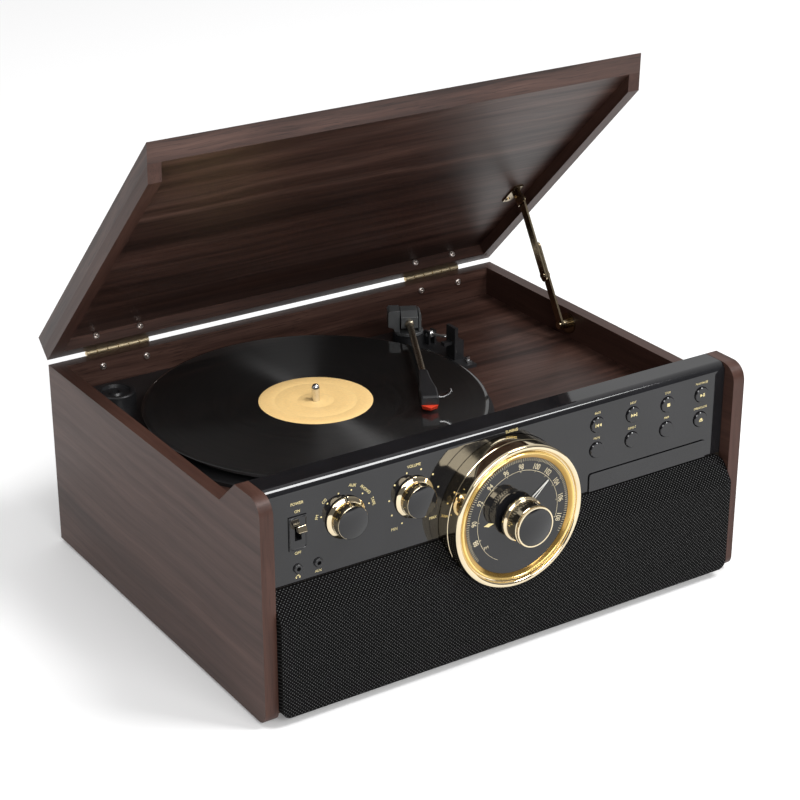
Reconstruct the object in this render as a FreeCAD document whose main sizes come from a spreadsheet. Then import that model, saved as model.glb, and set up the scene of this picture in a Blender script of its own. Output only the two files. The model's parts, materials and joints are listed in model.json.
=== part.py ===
import FreeCAD, Part
import math
import os
import re

import Sketcher

# Record player with a hinged lid, a radio dial and a disc drawer.
# Lengths are millimetres and angles degrees. X runs across the front, Y to the back, Z up.
# A name that ends in _depth is measured back from the side panels' front edges,
# one that ends in _height up from the side panels' bottom edges.

SIZES = {
    # cabinet boards
    "cabinet_width": 480,
    "board_thickness": 12,
    "side_rise": 28,
    "ear_rise": 23.7,
    "ear_top_depth": 37.8,
    "ear_foot_depth": 63.3,
    "ear_round": 15,
    "toe_round": 10.5,
    "base_thickness": 9,
    "deck_height": 145,
    "deck_thickness": 9,
    # feet
    "foot_height": 3,
    "foot_radius": 9,
    "foot_inset": 26,
    # gaps
    "joint_gap": 0.3,
    "running_gap": 0.05,
    "panel_gap": 0.4,
    # lid
    "lid_gap": 2.5,
    "lid_rise": 23,
    "lid_thickness": 12,
    "lid_front_gap": 3.5,
    "lid_angle": 45.5,
    # hinges
    "hinge_offset": 2.4,
    "hinge_inset": 56.8,
    "hinge_length": 62.5,
    "knuckle_radius": 2.1,
    "hinge_pin_radius": 0.9,
    "leaf_thickness": 1.2,
    "leaf_width": 14,
    "bolt_spread": 21.7,
    "bolt_drop": 9,
    "bolt_radius": 1.5,
    "bolt_head_radius": 2.7,
    "bolt_head_rise": 1.4,
    # lid stay
    "stay_inset": 11,
    "stay_foot_back": 147.3,
    "stay_foot_drop": 13.4,
    "stay_top_back": 124.1,
    "stay_top_rise": 5.6,
    "stay_foot_reach": 49.5,
    "stay_tail": 28,
    "stay_half_width": 4.2,
    "stay_thickness": 2,
    "stay_pin_radius": 2,
    "stay_plate_thickness": 1.6,
    # control panel and grille
    "panel_recess_depth": 12,
    "panel_thickness": 3,
    "panel_round": 7.5,
    "seam_drop": 32.5,
    "grille_front": 18,
    "grille_knee_drop": 21.5,
    "grille_top_back": 2,
    "grille_bottom_height": 5,
    "grille_round": 8,
    "knee_round": 5,
    "baffle_thickness": 9,
    "speaker_inset": 78,
    "speaker_lift": 14,
    "speaker_seam_gap": 14.5,
    "speaker_length": 40,
    "terminal_x": -100,
    "terminal_height": 60,
    "terminal_width": 68,
    "terminal_rise": 30,
    "terminal_pitch": 16,
    "line_radius": 4.2,
    "line_bore": 1.7,
    "inlet_bore": 2.8,
    "board_length": 160,
    "board_depth": 100,
    "board_lift": 8,
    "board_sheet": 1.6,
    # dial
    "dial_x": -7,
    "dial_rise": 12.5,
    "dial_radius": 62.9,
    "dial_wall": 6.4,
    "dial_front": 26,
    "dial_back": 10,
    "glow_width": 5.5,
    "face_set_back": 4,
    "face_thickness": 2.5,
    "pointer_length": 39,
    "pointer_angle": 50,
    "tuning_radius": 19.5,
    "tuning_front": 46.5,
    "shaft_radius": 3,
    # knobs, switch and jacks
    "function_share": 0.446,
    "volume_share": 0.85,
    "knob_rise": 44.5,
    "knob_skirt_radius": 17.8,
    "knob_front_radius": 13.9,
    "knob_length": 12,
    "switch_body_depth": 16,
    "toggle_share": 0.174,
    "toggle_rise": 43,
    "toggle_length": 15.5,
    "toggle_angle": 25,
    "toggle_pivot": 3,
    "toggle_pin_radius": 1.2,
    "bezel_width": 16,
    "bezel_rise": 29,
    "bezel_thickness": 1,
    "jack_share": 0.171,
    "jack_pitch": 18.4,
    "jack_rise": 11.9,
    "jack_radius": 3.9,
    "jack_bore": 1.8,
    # buttons and disc drawer
    "button_row_rise": 60.9,
    "button_row_drop": 23.1,
    "button_radius": 7,
    "button_rise": 1.7,
    "button_back": 4,
    "drawer_share": 0.59,
    "drawer_width": 127,
    "drawer_rise": 16.2,
    "drawer_proud": 1.2,
    "drawer_corner": 3,
    "tray_length": 150,
    "disc_radius": 61,
    # turntable
    "spindle_depth": 210,
    "spindle_radius": 3.55,
    "spindle_rise": 30,
    "chassis_thickness": 3,
    "chassis_radius": 156,
    "chassis_side_gap": 7,
    "chassis_back_gap": 1,
    "platter_gap": 2.5,
    "platter_radius": 142,
    "platter_rise": 6.5,
    "platter_skin": 2.5,
    "drive_ring_radius": 53,
    "mat_thickness": 1,
    "record_radius": 150.8,
    "record_thickness": 1.5,
    "motor_dx": -70,
    "motor_dy": 55,
    "motor_radius": 16,
    "motor_length": 26,
    "pulley_radius": 6,
    "belt_thickness": 0.8,
    "adapter_inset": 27,
    "adapter_back": 42,
    "adapter_radius": 17.3,
    "adapter_rise": 11,
    # tonearm
    "arm_dx": 155,
    "arm_dy": 89,
    "arm_rise": 25.5,
    "arm_yaw": 27.5,
    "arm_reach": 187,
    "pillar_radius": 15,
    "pillar_rise": 10,
    "yoke_thickness": 3,
    "yoke_half_length": 8,
    "cheek_rise": 12,
    "head_half_width": 8,
    "tube_radius": 3,
    "headshell_length": 60,
    "needle_gap": 0.3,
    "rest_dx": 11,
    "rest_reach": 54,
    "rest_half_width": 7,
    "rest_rise": 18,
    "cue_dx": 14,
    "cue_dy": 13,
}

# Sizes that follow from the driving ones
DERIVED = {
    "side_height": "deck_height + side_rise",
    "ear_height": "side_height + ear_rise",
    "seam_height": "deck_height - seam_drop",
    "grille_knee_height": "seam_height - grille_knee_drop",
    "dial_height": "seam_height + dial_rise",
    "knob_height": "seam_height + knob_rise",
    "toggle_height": "seam_height + toggle_rise",
    "jack_height": "seam_height + jack_rise",
    "button_height": "seam_height + button_row_rise",
    "speaker_radius": "(seam_height - speaker_lift - speaker_seam_gap) / 2",
    "speaker_height": "speaker_lift + speaker_radius",
    "stay_foot_height": "side_height - stay_foot_drop",
    "stay_top_height": "side_height + stay_top_rise",
    "spindle_height": "deck_height + spindle_rise",
    "arm_height": "deck_height + arm_rise",
    "cabinet_depth": "spindle_depth + chassis_radius + chassis_back_gap + board_thickness",
    "inside_x": "cabinet_width / 2 - board_thickness",
    "lid_swing_back": "(lid_gap / 2 + lid_rise) * sin(lid_angle) - hinge_offset * cos(lid_angle)",
    "object_front": "panel_recess_depth - tuning_front",
    "object_back": "cabinet_depth + hinge_offset + lid_swing_back",
    "origin_depth": "(object_front + object_back) / 2",
    "hinge_spread": "inside_x - hinge_inset",
    "stay_x": "inside_x - stay_inset",
    "stay_foot_depth": "cabinet_depth - stay_foot_back",
    "stay_top_depth": "cabinet_depth - stay_top_back",
    "speaker_x": "inside_x - speaker_inset",
    "left_span": "inside_x + dial_x - dial_radius",
    "right_span": "inside_x - dial_x - dial_radius",
    "function_x": "function_share * left_span - inside_x",
    "volume_x": "volume_share * left_span - inside_x",
    "toggle_x": "toggle_share * left_span - inside_x",
    "jack_x": "jack_share * left_span - inside_x",
    "toggle_swing": "(toggle_pivot + panel_thickness + bezel_thickness) * tan(toggle_angle) + 3",
    "drawer_x": "dial_x + dial_radius + drawer_share * (right_span - drawer_width) + drawer_width / 2",
    "tray_half": "disc_radius + 0.6",
    "button_pitch": "drawer_width * 0.2965",
    "button_x": "drawer_x - 1.5 * button_pitch",
    "spindle_x": "chassis_radius + chassis_side_gap - inside_x",
    "adapter_x": "adapter_inset - inside_x",
    "adapter_depth": "cabinet_depth - board_thickness - adapter_back",
    "arm_x": "spindle_x + arm_dx",
    "arm_depth": "spindle_depth + arm_dy",
    "rest_x": "arm_x + rest_dx",
    "rest_depth": "arm_depth - rest_reach",
    "cue_x": "arm_x + cue_dx",
    "cue_depth": "arm_depth - cue_dy",
    "cue_length": "rest_reach - cue_dy - rest_half_width - 6",
    "speed_x": "rest_x + 6",
    "speed_depth": "rest_depth - rest_half_width - 9",
}

V = FreeCAD.Vector
TURNS = {
    "x": FreeCAD.Rotation(V(0, 1, 0), 90),
    "y": FreeCAD.Rotation(V(1, 0, 0), -90),
    "-y": FreeCAD.Rotation(V(1, 0, 0), 90),
    "z": FreeCAD.Rotation(),
}
KNUCKLES = 6

# Places that several pieces share, written as sheet formulas
FRONT = "(-origin_depth)"
BACK = "(cabinet_depth - origin_depth)"
BACK_INSIDE = "(cabinet_depth - board_thickness - origin_depth)"
INSIDE = "inside_x"
SIDE_TOP = "(foot_height + side_height)"
BASE_TOP = "(foot_height + base_thickness)"
DECK_TOP = "(foot_height + deck_height)"
DECK_UNDER = "(foot_height + deck_height - deck_thickness)"
FACE = "(panel_recess_depth - origin_depth)"
FACE_INSIDE = "(panel_recess_depth + panel_thickness - origin_depth)"
PANEL_REAR = "(ear_top_depth - origin_depth)"
SEAM = "(foot_height + seam_height)"
DIAL_Z = "(foot_height + dial_height)"
KNOB_Z = "(foot_height + knob_height)"
CHASSIS_TOP = "(foot_height + deck_height + chassis_thickness)"
PLATTER_Z = "(foot_height + deck_height + chassis_thickness + platter_gap)"
RECORD_Z = "(foot_height + deck_height + chassis_thickness + platter_gap + platter_rise + mat_thickness)"
HINGE_Y = "(cabinet_depth + hinge_offset - origin_depth)"
HINGE_Z = "(foot_height + side_height + lid_gap / 2)"
LID_LOW = "(lid_gap / 2)"
LID_UNDER = "(lid_gap / 2 + lid_rise - lid_thickness)"
LID_TOP = "(lid_gap / 2 + lid_rise)"
TERMINAL_HALF = "(terminal_pitch + 2 * line_radius)"
EAR_SLOPE = "((ear_foot_depth - ear_top_depth) / (ear_height - side_height))"

doc = FreeCAD.newDocument("record_player")
sheet = doc.addObject("Spreadsheet::Sheet", "sizes")
parts = []


def fill_sheet():
    """Write every size into the sheet under its own alias, those that follow from others as formulas."""
    rows = [(name, str(number)) for name, number in SIZES.items()]
    rows += [(name, "=" + text) for name, text in DERIVED.items()]
    for row, (name, content) in enumerate(rows, start=1):
        sheet.set(f"A{row}", name)
        sheet.set(f"B{row}", content)
        sheet.setAlias(f"B{row}", name)
    doc.recompute()


def value(name):
    return float(sheet.get(name))


def formula(text):
    """Formula in which each named size is read from the sheet."""
    def lookup(match):
        word = match.group()
        return f"sizes.{word}" if word in SIZES or word in DERIVED else word
    return re.sub(r"[a-z][a-z0-9_]*", lookup, str(text))


def deep(name):
    return f"({name} - origin_depth)"


def high(name):
    return f"(foot_height + {name})"


def bind(item, prop, text):
    item.setExpression(prop, formula(text))


def place(item, spot):
    for axis, text in zip("xyz", spot):
        bind(item, f"Placement.Base.{axis}", text)


def keep(item, label):
    """Name a finished piece and put it on the list of files to write."""
    item.Label = label
    parts.append(item)
    return item


def block(name, x, y, z):
    """Block between a start and an end along each axis."""
    item = doc.addObject("Part::Box", name)
    for prop, span in zip(("Length", "Width", "Height"), (x, y, z)):
        bind(item, prop, f"({span[1]}) - ({span[0]})")
    place(item, (x[0], y[0], z[0]))
    return item


def rod(name, along, centre, span, radius):
    """Round bar along one axis; centre holds the other two coordinates in order."""
    item = doc.addObject("Part::Cylinder", name)
    bind(item, "Radius", radius)
    bind(item, "Height", f"({span[1]}) - ({span[0]})")
    item.Placement = FreeCAD.Placement(V(), TURNS[along])
    spot = list(centre)
    spot.insert("xyz".index(along), span[0])
    place(item, spot)
    return item


def cut(name, base, tools):
    item = doc.addObject("Part::Cut", name)
    item.Base = base
    item.Tool = tools[0] if len(tools) == 1 else group(name + "_tools", tools)
    return item


def fuse(name, pieces):
    item = doc.addObject("Part::MultiFuse", name)
    item.Shapes = pieces
    item.Refine = True
    return item


def group(name, pieces):
    item = doc.addObject("Part::Compound", name)
    item.Links = pieces
    return item


def outline_sketch(body, plane, points):
    """Closed outline of straight edges whose corners are bound to the sheet."""
    sketch = body.newObject("Sketcher::SketchObject", body.Name + "_outline")
    support = next(item for item in body.Origin.OriginFeatures if item.Role == plane)
    sketch.AttachmentSupport = [(support, "")]
    sketch.MapMode = "FlatFace"
    count = len(points)
    turn = 2 * math.pi / count
    rough = [V(20 + 9 * math.cos(turn * k), 20 + 9 * math.sin(turn * k), 0) for k in range(count)]
    for k in range(count):
        sketch.addGeometry(Part.LineSegment(rough[k], rough[(k + 1) % count]))
    for k in range(count):
        sketch.addConstraint(Sketcher.Constraint("Coincident", k, 2, (k + 1) % count, 1))
    for k, point in enumerate(points):
        for kind, axis, text in zip(("DistanceX", "DistanceY"), (-2, -1), point):
            if text == "0":
                sketch.addConstraint(Sketcher.Constraint("PointOnObject", k, 1, axis))
            else:
                index = sketch.addConstraint(Sketcher.Constraint(kind, -1, 1, k, 1, 5.0))
                bind(sketch, f"Constraints[{index}]", text)
    return sketch


def padded(name, plane, points, length, spot):
    """Body padded from an outline on one of its own planes."""
    body = doc.addObject("PartDesign::Body", name)
    pad = body.newObject("PartDesign::Pad", name + "_pad")
    pad.Profile = outline_sketch(body, plane, points)
    bind(pad, "Length", length)
    body.Tip = pad
    place(body, spot)
    return body


def turned(name, points, spot, along):
    """Body turned about its own axis from an outline of (radius, distance) corners."""
    body = doc.addObject("PartDesign::Body", name)
    turn = body.newObject("PartDesign::Revolution", name + "_turn")
    sketch = outline_sketch(body, "XZ_Plane", points)
    turn.Profile = sketch
    turn.ReferenceAxis = (sketch, ["V_Axis"])
    turn.Angle = 360
    body.Tip = turn
    body.Placement = FreeCAD.Placement(V(), TURNS[along])
    place(body, spot)
    return body


def round_edge(body, radius, first, second):
    """Round the padded edges that pass through a corner of the outline."""
    doc.recompute()
    base = body.Tip
    names = []
    for number, edge in enumerate(base.Shape.Edges, start=1):
        ends = [vertex.Point for vertex in edge.Vertexes]
        gaps = [max(abs(end.y - first), abs(end.z - second)) for end in ends]
        if max(gaps) < 0.01:
            names.append(f"Edge{number}")
    fillet = body.newObject("PartDesign::Fillet", body.Name + "_round")
    fillet.Base = (base, names)
    bind(fillet, "Radius", radius)
    body.Tip = fillet


def swing(item, axis, angle, spot):
    """Set a piece that was built about its own pivot at a place and an angle."""
    item.Placement = FreeCAD.Placement(V(), FreeCAD.Rotation(axis, 1))
    bind(item, "Placement.Rotation.Angle", angle)
    place(item, spot)
    return item


def on_lid(item):
    """Set a piece built about the hinge axis on the opened lid."""
    return swing(item, V(-1, 0, 0), "lid_angle", ("0", HINGE_Y, HINGE_Z))


def on_arm(item):
    """Set a piece built about the arm's pivot on the arm."""
    return swing(item, V(0, 0, -1), "arm_yaw", ("arm_x", deep("arm_depth"), "0"))


# Cabinet

def side_panel(label, x):
    outline = [
        ("0", "0"),
        ("cabinet_depth", "0"),
        ("cabinet_depth", "side_height"),
        ("ear_foot_depth", "side_height"),
        ("ear_top_depth", "ear_height"),
        ("0", "ear_height"),
    ]
    body = padded(label, "YZ_Plane", outline, "board_thickness", (x, FRONT, "foot_height"))
    round_edge(body, "ear_round", 0, value("ear_height"))
    round_edge(body, "toe_round", 0, 0)
    keep(body, label)


def hinge_bolt_spots():
    return [f"{side} * hinge_spread + {end} * bolt_spread" for side in (-1, 1) for end in (-1, 1)]


def rear_panel():
    board = block("rear_board", (f"-{INSIDE}", INSIDE), (BACK_INSIDE, BACK), ("foot_height", SIDE_TOP))
    holes = []
    for x in hinge_bolt_spots():
        centre = (x, f"{HINGE_Z} - bolt_drop")
        holes.append(rod("rear_hole", "y", centre, (BACK_INSIDE, BACK), "bolt_radius + running_gap"))
    half = f"({TERMINAL_HALF} + panel_gap)"
    rise = "(2 * line_radius + panel_gap)"
    window_x = (f"terminal_x - {half}", f"terminal_x + {half}")
    window_z = (high(f"terminal_height - {rise}"), high(f"terminal_height + {rise}"))
    holes.append(block("terminal_window", window_x, (BACK_INSIDE, BACK), window_z))
    keep(cut("rear_cut", board, holes), "rear_panel")


def base_panel():
    board = block("base_board", (f"-{INSIDE}", INSIDE), (FACE, BACK_INSIDE), ("foot_height", BASE_TOP))
    keep(board, "base_panel")


def feet():
    across = "(cabinet_width / 2 - foot_inset)"
    rows = (f"{FACE} + foot_inset", f"{BACK} - foot_inset")
    pads = [rod("foot", "z", (f"{side} * {across}", y), ("0", "foot_height"), "foot_radius")
            for side in (-1, 1) for y in rows]
    keep(group("foot_group", pads), "feet")


def deck_board():
    board = block("deck_blank", (f"-{INSIDE}", INSIDE), (f"{PANEL_REAR} - panel_thickness", BACK_INSIDE),
                  (DECK_UNDER, DECK_TOP))
    opening = block("deck_opening", ("spindle_x + motor_dx - 30", "spindle_x + 40"),
                    (deep("spindle_depth - 40"), deep("spindle_depth + motor_dy + 30")),
                    (DECK_UNDER, DECK_TOP))
    keep(cut("deck_cut", board, [opening]), "deck_board")


def dial_hole(name, start, end):
    return rod(name, "y", ("dial_x", DIAL_Z), (start, end), "dial_radius + panel_gap")


def button_spots():
    """Centre of each button, row by row from the left."""
    spots = []
    for row in range(2):
        z = high(f"button_height - {row} * button_row_drop")
        spots += [(f"button_x + {column} * button_pitch", z) for column in range(4)]
    return spots


def control_panel():
    outline = [
        ("panel_recess_depth", "seam_height"),
        ("panel_recess_depth", "ear_height"),
        ("ear_top_depth", "ear_height"),
        ("ear_top_depth", "deck_height"),
        ("ear_top_depth - panel_thickness", "deck_height"),
        ("ear_top_depth - panel_thickness", "ear_height - panel_thickness"),
        ("panel_recess_depth + panel_thickness", "ear_height - panel_thickness"),
        ("panel_recess_depth + panel_thickness", "seam_height"),
    ]
    shell = padded("panel_shell", "YZ_Plane", outline, f"2 * ({INSIDE} - panel_gap)",
                   (f"panel_gap - {INSIDE}", FRONT, "foot_height"))
    round_edge(shell, "panel_round", value("panel_recess_depth"), value("ear_height"))
    wall = (FACE, FACE_INSIDE)
    holes = [dial_hole("panel_dial_hole", FACE, FACE_INSIDE)]
    for x in ("function_x", "volume_x"):
        holes.append(rod("panel_shaft_hole", "y", (x, KNOB_Z), wall, "shaft_radius + joint_gap"))
    for x in ("jack_x", "jack_x + jack_pitch"):
        holes.append(rod("panel_jack_hole", "y", (x, high("jack_height")), wall, "jack_radius - 1.2"))
    for x, z in button_spots():
        holes.append(rod("panel_button_hole", "y", (x, z), wall, "button_radius + joint_gap"))
    holes.append(toggle_slot("panel_toggle_slot", wall))
    holes.append(drawer_plate("panel_drawer_slot", "panel_gap", wall, SEAM))
    keep(cut("panel_cut", shell, holes), "control_panel")


def speaker_grille():
    outline = [
        ("0", "0"),
        ("grille_front", "0"),
        ("grille_front", "seam_height - grille_bottom_height - panel_gap"),
        ("grille_front - grille_top_back", "seam_height - grille_bottom_height - panel_gap"),
        ("0", "grille_knee_height - grille_bottom_height"),
    ]
    bar = padded("grille_bar", "YZ_Plane", outline, f"2 * ({INSIDE} - panel_gap)",
                 (f"panel_gap - {INSIDE}", f"{FACE} - grille_front", high("grille_bottom_height")))
    round_edge(bar, "knee_round", 0, value("grille_knee_height") - value("grille_bottom_height"))
    ends = block("grille_ends", (f"panel_gap - {INSIDE}", f"{INSIDE} - panel_gap"),
                 (f"{FACE} - grille_front", FACE), (high("grille_bottom_height"), f"{SEAM} - panel_gap"))
    rounded = doc.addObject("Part::Fillet", "grille_corners")
    rounded.Base = ends
    doc.recompute()
    corner = value("grille_round")
    upright = [(number, corner, corner) for number, edge in enumerate(ends.Shape.Edges, start=1)
               if abs(edge.tangentAt(edge.FirstParameter).y) > 0.99]
    rounded.Edges = upright
    shape = doc.addObject("Part::Common", "grille_shape")
    shape.Base = bar
    shape.Tool = rounded
    hole = dial_hole("grille_dial_hole", f"{FACE} - grille_front", FACE)
    keep(cut("grille_cut", shape, [hole]), "speaker_grille")


def baffle_board():
    span = (FACE, f"{FACE} + baffle_thickness")
    board = block("baffle_blank", (f"panel_gap - {INSIDE}", f"{INSIDE} - panel_gap"), span, (BASE_TOP, SEAM))
    holes = [dial_hole("baffle_dial_hole", *span)]
    for side in (-1, 1):
        centre = (f"{side} * speaker_x", high("speaker_height"))
        holes.append(rod("baffle_hole", "y", centre, span, "speaker_radius - 6"))
    keep(cut("baffle_cut", board, holes), "baffle_board")


def speakers():
    outline = [
        ("0", "8"),
        ("speaker_radius - 7", "0"),
        ("speaker_radius", "0"),
        ("speaker_radius", "2.5"),
        ("speaker_radius - 5", "4"),
        ("speaker_radius * 0.62", "speaker_length * 0.55"),
        ("speaker_radius * 0.62", "speaker_length"),
        ("0", "speaker_length"),
    ]
    pair = [turned(f"speaker_{name}", outline,
                   (f"{side} * speaker_x", f"{FACE} + baffle_thickness", high("speaker_height")), "y")
            for side, name in ((-1, "left"), (1, "right"))]
    keep(group("speaker_pair", pair), "speakers")


def main_board():
    """Amplifier board on four posts, with three chips."""
    half = "(board_length / 2)"
    back = f"({BACK_INSIDE} - board_depth / 2)"
    low = f"({BASE_TOP} + board_lift)"
    top = f"({low} + board_sheet)"
    plate = block("main_plate", (f"-{half}", half), (f"{back} - board_depth", back), (low, top))
    posts = [rod("main_post", "z", (f"{side} * ({half} - board_lift)", f"{back} - {share} * board_depth"),
                 (BASE_TOP, low), "board_lift * 0.375") for side in (-1, 1) for share in (0.1, 0.9)]
    chips = []
    for share, rise in ((-0.3, 0.6), (0.05, 1.8), (0.32, 0.4)):
        middle = f"({share} * board_length)"
        chips.append(block("main_chip", (f"{middle} - board_lift", f"{middle} + board_lift"),
                           (f"{back} - board_depth * 0.65", f"{back} - board_depth * 0.4"),
                           (top, f"{top} + {rise} * board_lift")))
    return fuse("main_board", [plate] + posts + chips)


def key_board():
    """Switch board behind the buttons, on two posts."""
    edge = "(button_radius + 4)"
    near = f"({FACE_INSIDE} + button_back + 2)"
    plate = block("key_plate", (f"button_x - {edge}", f"button_x + 3 * button_pitch + {edge}"),
                  (near, f"{near} + board_sheet"),
                  (high(f"button_height - button_row_drop - {edge}"), high(f"button_height + {edge}")))
    middle = high("button_height - button_row_drop / 2")
    posts = [rod("key_post", "y", (f"button_x + {column} * button_pitch", middle), (FACE_INSIDE, near),
                 "2.5") for column in (0.5, 2.5)]
    return fuse("key_board", [plate] + posts)


def circuit_boards():
    keep(group("board_group", [main_board(), key_board()]), "circuit_boards")


def rear_terminal_plate():
    middle = high("terminal_height")
    plate = block("terminal_plate", ("terminal_x - terminal_width / 2", "terminal_x + terminal_width / 2"),
                  (BACK, f"{BACK} + 2"),
                  (f"{middle} - terminal_rise / 2", f"{middle} + terminal_rise / 2"))
    body = block("terminal_body", (f"terminal_x - {TERMINAL_HALF}", f"terminal_x + {TERMINAL_HALF}"),
                 (f"{BACK} - board_thickness", BACK),
                 (f"{middle} - 2 * line_radius", f"{middle} + 2 * line_radius"))
    spots = ("terminal_x - terminal_pitch", "terminal_x")
    sleeves = [rod("terminal_sleeve", "y", (x, middle), (f"{BACK} + 2", f"{BACK} + 10"), "line_radius")
               for x in spots]
    bores = [rod("terminal_bore", "y", (x, middle), (f"{BACK} - 2", f"{BACK} + 10"), "line_bore")
             for x in spots]
    bores.append(rod("inlet_hole", "y", ("terminal_x + terminal_pitch", middle),
                     (f"{BACK} - 8", f"{BACK} + 2"), "inlet_bore"))
    solid = fuse("terminal_solid", [plate, body] + sleeves)
    keep(cut("terminal_cut", solid, bores), "rear_terminal_plate")


# Hinges, built about the hinge axis

def leaf(name, side, first, upward):
    """One hinge leaf: its plate and every second knuckle, counted from the first."""
    step = f"(hinge_length / {KNUCKLES})"
    start = f"({side} * hinge_spread - hinge_length / 2)"
    clear = "(knuckle_radius + joint_gap)"
    plate_y = ("-hinge_offset", "leaf_thickness - hinge_offset")
    plate_z = (clear, "leaf_width") if upward else ("-leaf_width", f"-{clear}")
    tongue_z = ("0", clear) if upward else (f"-{clear}", "0")
    pieces = [block(name + "_plate", (start, f"{start} + hinge_length"), plate_y, plate_z)]
    for k in range(first, KNUCKLES, 2):
        span = (f"{start} + {k} * {step} + joint_gap / 2", f"{start} + {k + 1} * {step} - joint_gap / 2")
        pieces.append(block(name + "_tongue", span, plate_y, tongue_z))
        pieces.append(rod(name + "_knuckle", "x", ("0", "0"), span, "knuckle_radius"))
    pin = (f"{start}", f"{start} + hinge_length")
    if not upward:
        pieces.append(rod(name + "_pin", "x", ("0", "0"), pin, "hinge_pin_radius"))
    solid = fuse(name + "_solid", pieces)
    bolt_z = "bolt_drop" if upward else "-bolt_drop"
    holes = [rod(name + "_hole", "y", (f"{side} * hinge_spread + {end} * bolt_spread", bolt_z), plate_y,
                 "bolt_radius + running_gap") for end in (-1, 1)]
    if upward:
        holes.append(rod(name + "_bore", "x", ("0", "0"), pin, "hinge_pin_radius + running_gap"))
    return cut(name, solid, holes)


def hinge_bolts(name, bolt_z):
    """Four bolts with their nuts, through a leaf and the board behind it."""
    bolts = []
    outside = "(leaf_thickness - hinge_offset)"
    inside = "(-hinge_offset - board_thickness)"
    for x in hinge_bolt_spots():
        head_y = (outside, f"{outside} + bolt_head_rise")
        head = rod(name + "_head", "y", (x, bolt_z), head_y, "bolt_head_radius")
        shank = rod(name + "_shank", "y", (x, bolt_z), (f"{inside} - 3", outside), "bolt_radius")
        nut = rod(name + "_nut", "y", (x, bolt_z), (f"{inside} - 2", inside), "bolt_head_radius")
        bolts.append(fuse(name + "_bolt", [head, shank, nut]))
    return group(name, bolts)


def hinges():
    spot = ("0", HINGE_Y, HINGE_Z)
    ends = tuple(enumerate((-1, 1)))
    lower = group("lower_leaves", [leaf(f"lower_leaf_{n}", side, 0, False) for n, side in ends])
    place(lower, spot)
    keep(lower, "cabinet_hinge_leaves")
    upper = group("upper_leaves", [leaf(f"upper_leaf_{n}", side, 1, True) for n, side in ends])
    keep(on_lid(upper), "lid_hinge_leaves")
    lower_bolts = hinge_bolts("lower_bolts", "-bolt_drop")
    place(lower_bolts, spot)
    keep(lower_bolts, "cabinet_hinge_bolts")
    keep(on_lid(hinge_bolts("upper_bolts", "bolt_drop")), "lid_hinge_bolts")


# Lid, built closed about the hinge axis

def lid_front(level):
    """Distance from the hinge axis to the slanted front edge at a level above the axis."""
    above = f"(side_height + lid_gap / 2 + {level})"
    ear = f"(ear_top_depth + (ear_height - {above}) * {EAR_SLOPE})"
    return f"({ear} + lid_front_gap - cabinet_depth - hinge_offset)"


def lid_slice(name, low, top, x, width):
    outline = [
        (lid_front(low), low),
        ("-hinge_offset", low),
        ("-hinge_offset", top),
        (lid_front(top), top),
    ]
    body = padded(name, "YZ_Plane", outline, width, ("0", "0", "0"))
    on_lid(body)
    bind(body, "Placement.Base.x", x)
    return body


def lid():
    board = lid_slice("lid_top", LID_UNDER, LID_TOP, "-cabinet_width / 2", "cabinet_width")
    keep(board, "lid_board")
    sides = [lid_slice(f"lid_side_{n}", LID_LOW, LID_UNDER, x, "board_thickness")
             for n, x in enumerate(("-cabinet_width / 2", INSIDE))]
    keep(group("lid_sides", sides), "lid_side_walls")
    span = ("-hinge_offset - board_thickness", "-hinge_offset")
    wall = block("lid_rear_blank", (f"-{INSIDE}", INSIDE), span, (LID_LOW, LID_UNDER))
    holes = [rod("lid_rear_hole", "y", (x, "bolt_drop"), span, "bolt_radius + running_gap")
             for x in hinge_bolt_spots()]
    keep(on_lid(cut("lid_rear_cut", wall, holes)), "lid_rear_wall")


# Folding stay

STAY_DY = "(stay_top_depth - cabinet_depth - hinge_offset)"
STAY_DZ = "(stay_top_height - side_height - lid_gap / 2)"
STAY_TOP_Y = f"({HINGE_Y} + {STAY_DY} * cos(lid_angle) + {STAY_DZ} * sin(lid_angle))"
STAY_TOP_Z = f"({HINGE_Z} - {STAY_DY} * sin(lid_angle) + {STAY_DZ} * cos(lid_angle))"
STAY_FOOT_Y = "(stay_foot_depth - origin_depth)"
STAY_FOOT_Z = "(foot_height + stay_foot_height)"
STAY_RUN = f"({STAY_TOP_Y} - {STAY_FOOT_Y})"
STAY_LIFT = f"({STAY_TOP_Z} - {STAY_FOOT_Z})"
STAY_SPAN = f"sqrt({STAY_RUN} * {STAY_RUN} + {STAY_LIFT} * {STAY_LIFT})"
STAY_ANGLE = f"atan2({STAY_LIFT}; {STAY_RUN})"


def stay_bar(name, x, reach, tail, rivet_x):
    """Flat bar from its pivot at the origin along Y, with a rivet head at the elbow."""
    flat = block(name + "_flat", x, ("0", f"{reach} + {tail}"), ("-stay_half_width", "stay_half_width"))
    eye = rod(name + "_eye", "x", ("0", "0"), x, "stay_half_width")
    tip = rod(name + "_tip", "x", (f"{reach} + {tail}", "0"), x, "stay_half_width")
    rivet = rod(name + "_rivet", "x", (reach, "0"), rivet_x, "stay_half_width - 0.8")
    bore = rod(name + "_bore", "x", ("0", "0"), x, "stay_pin_radius + running_gap")
    return cut(name, fuse(name + "_solid", [flat, eye, tip, rivet]), [bore])


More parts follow.
